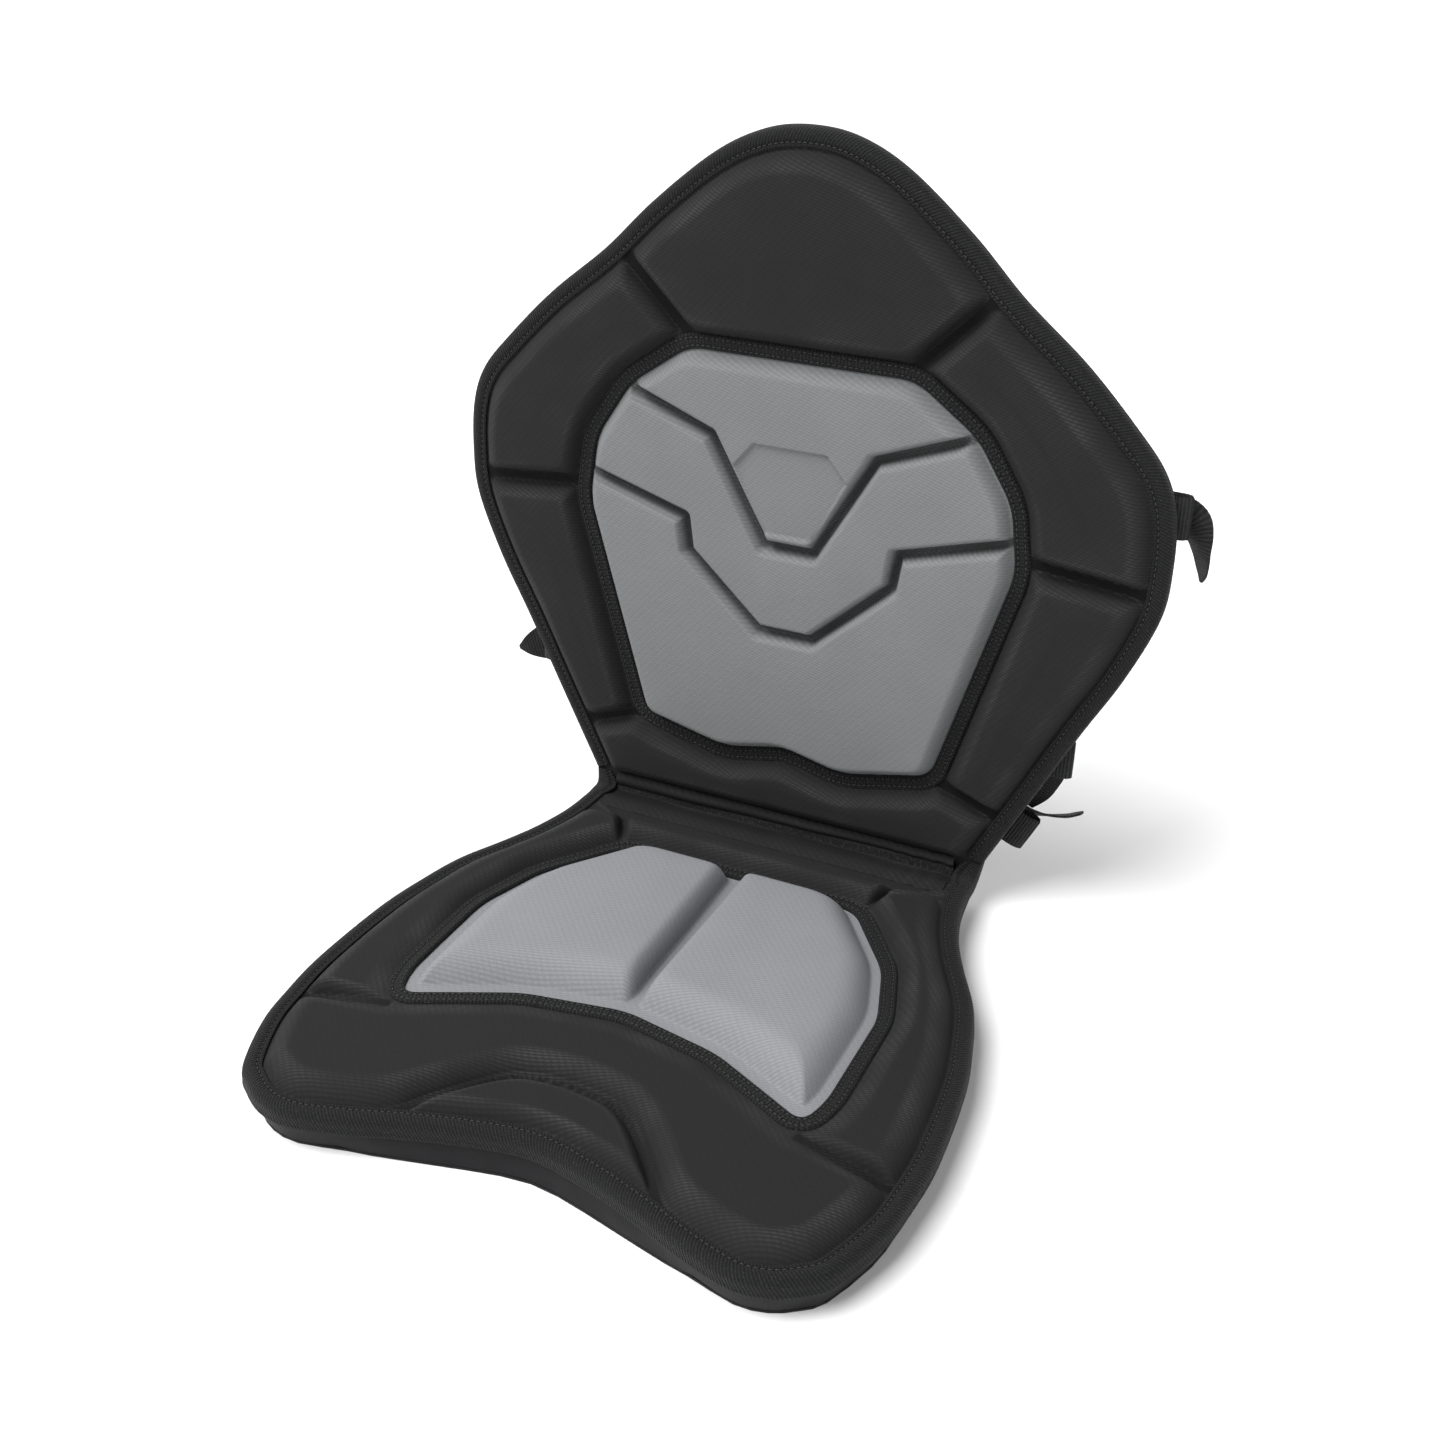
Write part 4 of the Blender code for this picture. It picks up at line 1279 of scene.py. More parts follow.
@dataclass
class SeatPad:
    """The seat pad: a moulded black and grey knit top, bound over a nylon side wall."""

    finishes: Finishes
    width: float = 0.376
    length: float = 0.3525
    edge_half: tuple[Pair, ...] = (
        (0.697, 0.045), (0.713, 0.119), (0.755, 0.193), (0.814, 0.261), (0.894, 0.343), (0.941, 0.426),
        (0.979, 0.525), (1.000, 0.681), (0.989, 0.780), (0.968, 0.851), (0.904, 0.939), (0.846, 0.970),
        (0.771, 0.993), (0.670, 1.000), (0.521, 0.980), (0.372, 0.952), (0.176, 0.921), (0.000, 0.906),
    )
    inset_half: tuple[Pair, ...] = (
        (0.000, 0.610), (0.319, 0.641), (0.646, 0.723), (0.676, 0.667), (0.676, 0.454), (0.601, 0.326),
        (0.415, 0.193),
    )
    lobes_half: tuple[Pair, ...] = (*inset_half[:-1], (0.341, 0.140))
    side_channel: tuple[Pair, ...] = ((0.660, 0.752), (1.040, 0.778))
    corner_channel: tuple[Pair, ...] = ((0.450, 0.172), (0.535, 0.070))
    pleats: tuple[tuple[Pair, Pair], ...] = (
        ((0.085, 0.047), (0.119, 0.026)), ((0.094, 0.052), (0.122, 0.037)),
    )
    valley: tuple[Pair, ...] = (
        (0.560, 1.050), (0.447, 0.965), (0.330, 0.877), (0.170, 0.797), (0.000, 0.780),
    )
    shell_top: float = 0.025
    pad_top: float = 0.0355
    mound_top: float = 0.0330
    pad_margin: float = 0.0100
    rear_foot: float = 0.0365
    tape_width: float = 0.009
    lobe_rise: float = 0.0135
    lobe_slopes: Triple = (0.0190, 0.0250, 0.0105)
    lobe_rear_slope: float = 0.0090
    lobe_crown: float = 0.0034
    channel_half: float = 0.0026
    rim_slopes: Pair = (0.0080, 0.0150)
    valley_slopes: Pair = (0.0075, 0.0135)
    channel_slopes: Pair = (0.0110, 0.0060)
    inset_slope: float = 0.0125
    rear_slope: float = 0.017
    corner_slope: float = 0.0060
    pleat_rise: float = 0.0021
    left_pleat_rise: float = 0.0012
    edge: Outline = field(init=False)
    inset: Outline = field(init=False)
    lobes: Outline = field(init=False)
    hollow: Outline = field(init=False)

    def __post_init__(self) -> None:
        """Works out the outlines, with Y as the distance forward of the fold line."""
        self.edge = Outline.of(smooth_run(self.sized(both_sides(self.edge_half)), 5))
        self.inset = Outline.of(rounded(self.sized(both_sides(self.inset_half)), 0.010))
        self.lobes = Outline.of(rounded(self.sized(both_sides(self.lobes_half)), 0.014))
        arch = smooth_run(self.sized(self.valley), 8)
        mirrored = arch[::-1] * (-1, 1)
        self.hollow = Outline.of(np.vstack([arch, mirrored[1:], [(-0.12, 0.5), (0.12, 0.5)]]))

    def sized(self, shares: Iterable[Pair]) -> list[Pair]:
        """Turns shares of the half width and the length into metres."""
        return sized(shares, self.width, self.length)

    def ledge(self, at: np.ndarray) -> np.ndarray:
        """The height of the ledge that carries the inlay tape, which rises towards the front."""
        return 0.0262 + 0.0066 * ease_step((at[:, 1] - 0.060) / 0.200)

    def channel(self, at: np.ndarray) -> np.ndarray:
        """The distance to the nearer side channel."""
        return run_distance(on_right(at), np.array(self.sized(self.side_channel)))

    def arch(self, at: np.ndarray) -> np.ndarray:
        """The distance to the arched valley in front."""
        return run_distance(on_right(at), smooth_run(self.sized(self.valley), 8))

    def painted_shade(self, at: np.ndarray) -> np.ndarray:
        """The painted shade at each point: full in the side channels and weaker in the valley, where shade
        falls.
        """
        channel = np.clip(1.8 - self.channel(at) / 0.0022, 0, 1)
        return np.maximum(channel, 0.7 * np.clip(1.7 - self.arch(at) / 0.0026, 0, 1))

    def panel_height(self, at: np.ndarray) -> np.ndarray:
        """The height of the black panel's face at each point.

        Args:
            at: The points, one a row.

        Returns:
            The heights.
        """
        mirror = on_right(at)
        rim = self.edge.depth(mirror) - self.pad_margin
        inner = -self.inset.depth(mirror) - self.tape_width - 0.0008
        valley = self.arch(at) - self.channel_half
        mound = self.hollow.depth(mirror) > 0
        line = np.array(self.sized(self.side_channel))
        channel = self.channel(at) - self.channel_half
        ahead = mirror[:, 1] > np.interp(mirror[:, 0], line[:, 0], line[:, 1])
        corner = run_distance(mirror, np.array(self.sized(self.corner_channel))) - 0.0012
        pad = least([
            rim / np.where(mound, *self.rim_slopes),
            inner / self.inset_slope,
            (mirror[:, 1] - self.rear_foot) / self.rear_slope,
            channel / np.where(ahead, *self.channel_slopes),
            valley / np.where(mound, *self.valley_slopes),
            corner / self.corner_slope,
        ], 0.5)
        crest = np.where(mound, self.mound_top, self.pad_top)
        to_rim = ease_step(inner / np.maximum(inner + rim, 1e-6))
        base = self.ledge(mirror) * (1 - to_rim) + self.shell_top * to_rim
        base = np.where(mound, self.shell_top, base)
        folds = sum(np.clip(1 - run_distance(at, np.array(fold)) / 0.0032, 0, 1) ** 2 for fold in self.pleats)
        left = np.clip(1 - run_distance(at * (-1, 1), np.array(self.pleats[0])) / 0.0028, 0, 1) ** 2
        face = base + (crest - base) * swell(pad, 2.2)
        return face + self.pleat_rise * folds + self.left_pleat_rise * left

    def inset_height(self, at: np.ndarray) -> np.ndarray:
        """The height of the grey inset's face, with its two lobes, at each point.

        Args:
            at: The points, one a row.

        Returns:
            The heights.
        """
        mirror = on_right(at)
        side = self.lobes.depth(mirror) - 0.0016
        front = self.lobes.depth(mirror + (0, 0.0045)) - 0.0010
        rear = mirror[:, 1] - self.inset_half[-1][1] * self.length - 0.0016
        half = 0.0042 - 0.0020 * np.clip((mirror[:, 1] - 0.08) / 0.14, 0, 1)
        side_slope, front_slope, middle_slope = self.lobe_slopes
        outer = least([side / side_slope, front / front_slope], 0.95)
        lobe = least([outer, (mirror[:, 0] - half) / middle_slope, rear / self.lobe_rear_slope], 0.45)
        crown = self.lobe_crown * (1 - np.exp(-np.maximum(lobe, 0) / 1.5))
        return self.ledge(mirror) - 0.0004 + self.lobe_rise * swell(lobe, 2.7) + crown

    def build(self) -> None:
        """Makes every piece of the seat pad."""
        finishes = self.finishes
        window = self.inset.moved(self.tape_width / 2)
        panel = SheetMesher(self.edge, self.panel_height, SEAT_PANEL_BACK, (window,), painted_shade=self.painted_shade)
        self.lay(panel.build("seat_panel_knit"), finishes.black_knit, ["seat_top_panel"])
        inset = SheetMesher(window.moved(-0.0003), self.inset_height, SEAT_PANEL_BACK, bend=0.00005)
        self.lay(inset.build("seat_inset_knit"), finishes.seat_grey, ["seat_grey_pad"])
        self.bind()
        self.wall()

    def lay(self, piece: bpy.types.Object, material: bpy.types.Material,
            replaced: Sequence[str]) -> bpy.types.Object:
        """Turns a piece from the distance forward of the fold to the row frame and settles it.

        Args:
            piece: The piece.
            material: Its material.
            replaced: The CAD nodes that it stands for.

        Returns:
            The piece.
        """
        piece.data.transform(Matrix.Translation((0, FOLD_Y, 0)) @ Matrix.Diagonal((1, -1, 1, 1)))
        piece.data.flip_normals()
        return settle(piece, SEAT, material, replaced)

    def bind(self) -> None:
        """Makes the edge binding, the inlay tape and their stitches."""
        finishes = self.finishes
        run, outward = open_edge(self.edge_half, self.width, self.length, 0.0025)
        top, low = self.shell_top + 0.0003, 0.0160
        section = np.array([
            (-0.0090, top), (-0.0092, top + 0.0010), (-0.0084, top + 0.0015), (-0.0074, top + 0.0013),
            (-0.0066, top + 0.0008), (-0.0058, top + 0.0013), (-0.0040, top + 0.0020),
            (-0.0018, top + 0.0018), (0.0004, top + 0.0008), (0.0016, top - 0.0012), (0.0020, top - 0.0032),
            (0.0019, low + 0.0030), (0.0024, low + 0.0014), (0.0020, low), (0.0006, low - 0.0001),
            (0.0003, low + 0.0012), (0.0003, top),
        ])
        tape = Binding(run, outward, section)
        self.lay(tape.build("seat_binding_tape"), finishes.tape, ["seat_edge_binding"])
        inset = self.inset.evened(0.0022)
        inlay = Binding(inset.points, inset.outward(), inlay_section(-0.0006), True)
        piece = inlay.build("seat_inlay_tape", self.ledge)
        self.lay(piece, finishes.inlay, ["seat_inlay_binding"])
        rows = [(tape.row(-0.0066, top + 0.0012), False)]
        rows += [(inlay.row(out, INLAY_SEAM_HEIGHT, self.ledge), True) for out in INLAY_SEAMS]
        turned = [(row * (1, -1, 1) + (0, FOLD_Y, 0), closed) for row, closed in rows]
        settle(Stitching().sew("seat_stitches", turned, finishes.thread), SEAT, None)

    def foot(self, edge: Outline) -> np.ndarray:
        """The underside's outline: in a little at the sides, out at the middle of the front.

        Args:
            edge: The seat's outline.

        Returns:
            The points, one for each of the outline.
        """
        inner = edge.moved(-0.004).points
        ahead = np.clip((edge.points[:, 1] / self.length - 0.85) / 0.15, 0, 1) ** 0.5
        middle = np.clip(1 - (edge.points[:, 0] / (0.27 * self.width)) ** 2, 0, 1)
        return inner + np.stack([np.zeros(len(inner)), 0.011 * ahead * middle], axis=1)

    def wall(self) -> None:
        """Makes the nylon side wall, loosely pulled over the foam, down to the underside."""
        step = 0.0035
        edge = self.edge.evened(step)
        foot, rim = self.foot(edge), edge.points
        walked = np.arange(len(rim)) * step
        levels = np.array([0.0018, 0.0040, 0.0070, 0.0100, 0.0130, 0.0157, 0.0205])
        rings = []
        for level in levels:
            share = np.clip((level - levels[0]) / 0.0139, 0, 1)
            line = foot * (1 - share) + rim * share
            slack = 0.0005 * math.sin(math.pi * share)
            pucker = np.sin(walked * 190 + 3 * np.sin(walked * 23)) + 0.6 * np.sin(walked * 83 + level * 300)
            shift = slack * (0.5 + 0.5 * pucker) - 0.0002 * (share < 1)
            outer = line + edge.outward() * shift[:, None]
            rings.append(np.column_stack([outer, np.full(len(line), level)]))
        inner = [np.column_stack([ring[:, :2] - edge.outward() * 0.0015, ring[:, 2]]) for ring in rings[::-1]]
        section = np.stack([*rings, *inner], axis=1)
        round_wall = np.concatenate([levels, levels[::-1] + 0.03])
        piece = swept("seat_side_nylon", section, round_wall, True)
        self.lay(piece, self.finishes.nylon, ["seat_side_gusset"])


def bend_with_fold(piece: bpy.types.Object, materials: Sequence[bpy.types.Material],
                   replaced: Sequence[str]) -> None:
    """Gives a piece that spans both bodies its materials, fixes it in place in the scene and hides the CAD
    nodes it stands for.

    Args:
        piece: The piece.
        materials: Its materials.
        replaced: The CAD nodes that it stands for.
    """
    for material in materials:
        piece.data.materials.append(material)
    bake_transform(piece)
    if replaced:
        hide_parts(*replaced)
    LOG.info("%s bends between seat and backrest", piece.name)


def on_backrest(out: float, up: float) -> Pair:
    """Turns a place on the backrest to the row frame.

    Args:
        out: How far in front of the backrest's plane it is.
        up: How far up the backrest it is.

    Returns:
        Its Y and Z.
    """
    lean = math.radians(LEAN_DEG)
    y = FOLD_Y + up * math.sin(lean) - out * math.cos(lean)
    return y, FOLD_Z + up * math.cos(lean) + out * math.sin(lean)


@dataclass(frozen=True)
class HingeStrip:
    """The fabric that joins seat and backrest, with a woven tape in the fold and a pleat above it."""

    finishes: Finishes
    half: float = 0.1182
    thickness: float = 0.0012
    stations: int = 240
    tongue: float = 0.0118
    tongue_stations: int = 6
    taped_faces: tuple[int, int] = (18, 24)

    def section(self, x: float) -> np.ndarray:
        """The strip's middle line at a distance from its middle, as Y and Z.

        Args:
            x: The distance from the middle, to the right.

        Returns:
            The points, from the seat up.
        """
        across = float(ease_step(np.array((x + 0.11) / 0.22)))
        pleat = 0.0034 - 0.0012 * across + 0.0005 * math.sin(x * 75)
        sag = 0.0005 * math.sin(x * 47 + 0.6) + 0.0002 * math.sin(x * 131)
        top = 0.0044 + 0.0026 * across
        flat = [(0.1525, 0.0252), (0.1570, 0.0256), (0.1625, 0.0256), (0.1668, 0.0242 + sag / 2),
                (0.1705, 0.0228 + sag), (0.1738, 0.0223 + sag)]
        climb = [(0.0036, 0.0016), (0.0032, 0.0008 + top / 2), (0.0028, top), (0.0019, top + 0.0009),
                 (0.0020 + pleat * 0.6, top + 0.0026), (0.0020 + pleat, 0.0102 + 0.0008 * across),
                 (0.0018 + pleat * 0.7, 0.0126), (0.0016, 0.0142)]
        return smooth_run(flat + [on_backrest(out, up) for out, up in climb], 3)

    def tucked(self) -> np.ndarray:
        """The strip's middle line where it is tucked under the waist tape.

        Returns:
            The points, from the seat up.
        """
        flat = [(0.1610, 0.0238), (0.1625, 0.0239), (0.1645, 0.0240), (0.1668, 0.0239), (0.1690, 0.0232),
                (0.1720, 0.0225), (0.1748, 0.0223)]
        climb = [(0.1762, 0.0226), (0.1772, 0.0232), (0.1780, 0.0240), (0.1784, 0.0249), (0.1787, 0.0258),
                 (0.1789, 0.0267), (0.1790, 0.0276)]
        return smooth_run(flat + climb, 3)

    def build(self) -> None:
        """Makes the strip, bent between the two bodies."""
        rings = []
        inner = np.linspace(-self.half, self.half, self.stations)
        tongue = np.linspace(self.half, self.half + self.tongue, self.tongue_stations)
        plain = range(len(tongue), len(tongue) + len(inner))
        for x in [*-tongue[::-1], *inner, *tongue]:
            line = self.section(x) if len(rings) in plain else self.tucked()
            along = unit_rows(np.gradient(line, axis=0))
            count = np.arange(len(line))
            taper = np.clip(0.25 + count / 9, 0, 1) * np.clip(0.4 + count[::-1] / 9, 0, 1)
            normal = np.stack([-along[:, 1], along[:, 0]], axis=1) * (taper * self.thickness / 2)[:, None]
            wrinkle = 0.00010 * math.sin(x * 140 + 2 * math.sin(x * 61))
            wrinkle += 0.00050 * math.sin(x * 520 + 1) * max(0, (x - 0.06) / 0.06)
            section = np.vstack([line + normal, (line - normal)[::-1]]) + (0, wrinkle)
            rings.append(np.column_stack([np.full(len(section), x), section]))
        rings = np.stack(rings)
        piece = swept("hinge_strip_cloth", rings, distance_walked(rings[0, :, 1:]), False)
        around = np.arange(len(piece.data.polygons)) % rings.shape[1]
        taped = (around >= self.taped_faces[0]) & (around < self.taped_faces[1])
        # A weaker painted highlight on the strip's shoulders.
        give_painted_highlight(piece, 0.3)
        # Painted shade along the valley between seat and backrest, at the strip's low part.
        valley = np.interp(np.arange(rings.shape[1] // 2), (4, 10, 16, 18), (0, 0.45, 0.75, 0))
        give_values(piece, PAINTED_SHADE, np.tile([*valley, *valley[::-1]], len(rings)))
        piece.data.polygons.foreach_set("material_index", taped.astype(np.int32))
        bend_with_fold(piece, (self.finishes.black_knit, self.finishes.fold_tape), ["hinge_strip"])


@dataclass(frozen=True)
class WaistTape:
    """The edge tape that goes round the fold at both ends, from the seat's binding to the backrest's."""

    finishes: Finishes

    def right(self) -> bpy.types.Object:
        """Makes the tape at the right-hand end.

        Returns:
            The tape.
        """
        stations = [((0.1634, 0.0250), 0, 0.1221, 0.1311), ((0.1684, 0.0251), 2, 0.1200, 0.1311),
                    ((0.1724, 0.0250), 12, 0.1190, 0.1312), ((0.1757, 0.0260), 45, 0.1188, 0.1315),
                    (on_backrest(0.0020, 0.0078), 76, 0.1200, 0.1323),
                    (on_backrest(0.0003, 0.0134), 87, 0.1246, 0.1333)]
        knots = np.array([(*place, tilt, inner, outer) for place, tilt, inner, outer in stations])
        rings = []
        for y, z, tilt, inner, outer in even_steps(smooth_run(knots * (1, 1, 1e-4, 1, 1), 6), 0.0008, False):
            angle = math.radians(tilt * 1e4)
            profile = [(inner, 0.0001), (inner + 0.0002, 0.0011), (inner + 0.0016, 0.0015),
                       ((inner + outer) / 2, 0.0019), (outer - 0.0010, 0.0017), (outer + 0.0010, 0.0006),
                       (outer + 0.0018, -0.0014),
                       (outer + 0.0019, -0.0060), (outer + 0.0018, -0.0090), (outer + 0.0006, -0.0092),
                       (outer + 0.0004, -0.0020), (outer - 0.0006, 0.0001)]
            rings.append([(x, y - n * math.sin(angle), z + n * math.cos(angle)) for x, n in profile])
        return swept("waist_tape_right", np.array(rings), distance_walked(np.array(profile)), False)

    def build(self) -> None:
        """Makes the tape at both ends."""
        for side in Side:
            piece = self.right()
            if side is Side.LEFT:
                mirror_piece(piece)
                piece.name = piece.data.name = "waist_tape_left"
            bend_with_fold(piece, (self.finishes.tape,), ())


class Side(Enum):
    """The side of the backrest that a strap hangs on."""

    RIGHT = 1
    LEFT = -1


@dataclass(frozen=True)
class Ribbon:
    """A flat strap along a run, with rounded edges.

    Attributes:
        width: Its width.
        thickness: Its thickness.
    """

    width: float = 0.025
    thickness: float = 0.0014

    def build(self, name: str, run: Sequence[tuple[float, ...]], wide: Sequence[tuple[float, ...]],
              share: Sequence[float] | None = None) -> bpy.types.Object:
        """Makes the strap.

        Args:
            name: The piece's name.
            run: The points of its middle line.
            wide: The direction of its width at each of them.
            share: The share of its width at each of them, where it is cut to a point.

        Returns:
            The strap, with its cloth UV map.
        """
        shares = np.array(share if share is not None else [1.0] * len(run))
        knots = np.column_stack([np.array(run, float), np.array(wide, float), shares])
        line = even_steps(smooth_run(knots, 8), 0.0030, False)
        centre, across, scale = line[:, :3], line[:, 3:6], line[:, 6]
        along = unit_rows(np.gradient(centre, axis=0))
        across = across - (across * along).sum(axis=1)[:, None] * along
        across *= (scale / np.linalg.norm(across, axis=1))[:, None]
        normal = unit_rows(np.cross(along, across))
        w, t = self.width / 2, self.thickness / 2
        half_face = [(-w + t, t), (0, t * 1.15), (w - t, t)]
        section = np.array([(-w, 0), *half_face, (w, 0), *[(x, -z) for x, z in half_face[::-1]]])
        rings = centre[:, None] + across[:, None] * section[None, :, :1]
        rings = rings + normal[:, None] * section[None, :, 1:]
        return swept(name, rings, distance_walked(section), False)


Fold = tuple[Sequence[Triple], Sequence[Triple], Sequence[float]]


@dataclass(frozen=True)
class Tail:
    """How a strap's loose end lies, from its tip to the lock, in the backrest's plane.

    Attributes:
        anchor_out: How far the anchor loop stands out past the edge.
        run: Its points from the edge at the strap's height: outward, up, in front.
        wide: The direction of its width at each of them.
        share: The share of its width at each of them.
        folded: Further folded lengths: their points, width directions and shares of the width.
    """

    anchor_out: float
    run: tuple[Triple, ...]
    wide: tuple[Triple, ...]
    share: tuple[float, ...]
    folded: tuple[Fold, ...] = ()


def folded_tab() -> Fold:
    """The folded webbing tab on the lower edge, square to it.

    Returns:
        Its points, the directions of its width and its shares of the width.
    """
    x, h = 0.1462, 0.0385
    out, up = 0.90, 0.436
    steps = [(-0.022, -0.0126), (-0.008, -0.0126), (0.0060, -0.0130), (0.0125, -0.0146), (0.0143, -0.0168),
             (0.0125, -0.0190), (0.0060, -0.0202), (-0.0060, -0.0206), (-0.0140, -0.0204)]
    return [(x + out * s, h - up * s, w) for s, w in steps], [(up, out, 0)] * len(steps), [1.0] * len(steps)


TAB_TIP = (
    [(0.1475, 0.0450, -0.0228), (0.1560, 0.0440, -0.0240), (0.1660, 0.0438, -0.0252),
     (0.1780, 0.0460, -0.0262), (0.1870, 0.0500, -0.0268)],
    [(0.42, 0.75, 0.50), (0.38, 0.60, 0.70), (0.36, 0.50, 0.79), (0.34, 0.44, 0.83), (0.34, 0.42, 0.84)],
    [0.9, 0.85, 0.75, 0.6, 0.25],
)

HANGING = ((0.95, 0.25, 0.00), (0.93, 0.30, 0.00), (0.85, 0.50, 0.00), (0.50, 0.85, 0.00), (0.10, 1.0, 0.00))


@dataclass(frozen=True)
class Route:
    """Where a strap runs behind the backrest.

    Attributes:
        height: Its height above the fold.
        run: How far it runs inwards from the edge.
        drop: How far it then hangs down.
    """

    height: float
    run: float
    drop: float


class Level(Enum):
    """The level that a strap is sewn on at, with its route."""

    UPPER = Route(0.253, 0.145, 0.153)
    LOWER = Route(0.091, 0.053, 0.033)


TAILS = {
    (Level.UPPER, Side.RIGHT): Tail(
        0.0076,
        ((0.0165, -0.0400, -0.0275), (0.0160, -0.0340, -0.0270), (0.0140, -0.0230, -0.0255),
         (0.0105, -0.0120, -0.0240), (0.0030, -0.0030, -0.0222)),
        ((0.44, 0.40, 0.80), (0.42, 0.44, 0.79), (0.38, 0.56, 0.73), (0.25, 0.85, 0.45), (0.05, 1.0, 0.05)),
        (0.12, 0.55, 0.90, 1.0, 1.0)),
    (Level.UPPER, Side.LEFT): Tail(
        0.0040,
        ((-0.0160, -0.0420, -0.0255), (-0.0140, -0.0320, -0.0262), (-0.0100, -0.0200, -0.0262),
         (-0.0060, -0.0090, -0.0250), (-0.0070, -0.0020, -0.0228)),
        HANGING,
        (0.94, 1.0, 1.0, 1.0, 1.0)),
    (Level.LOWER, Side.RIGHT): Tail(
        0.0086,
        ((-0.0200, -0.0420, -0.0250), (-0.0160, -0.0320, -0.0262), (-0.0110, -0.0200, -0.0262),
         (-0.0070, -0.0090, -0.0250), (-0.0075, -0.0020, -0.0228)),
        HANGING,
        (0.5, 0.9, 1.0, 1.0, 1.0),
        (folded_tab(), TAB_TIP)),
    (Level.LOWER, Side.LEFT): Tail(
        0.0110,
        ((0.0320, -0.0100, -0.0165), (0.0250, -0.0080, -0.0178), (0.0150, -0.0050, -0.0215),
         (0.0050, -0.0020, -0.0232), (-0.0040, -0.0005, -0.0225)),
        ((0.30, 0.95, 0.00), (0.25, 0.97, 0.00), (0.15, 0.99, 0.00), (0.05, 1.0, 0.00), (0.0, 1.0, 0.00)),
        (0.10, 0.60, 1.0, 1.0, 1.0)),
}


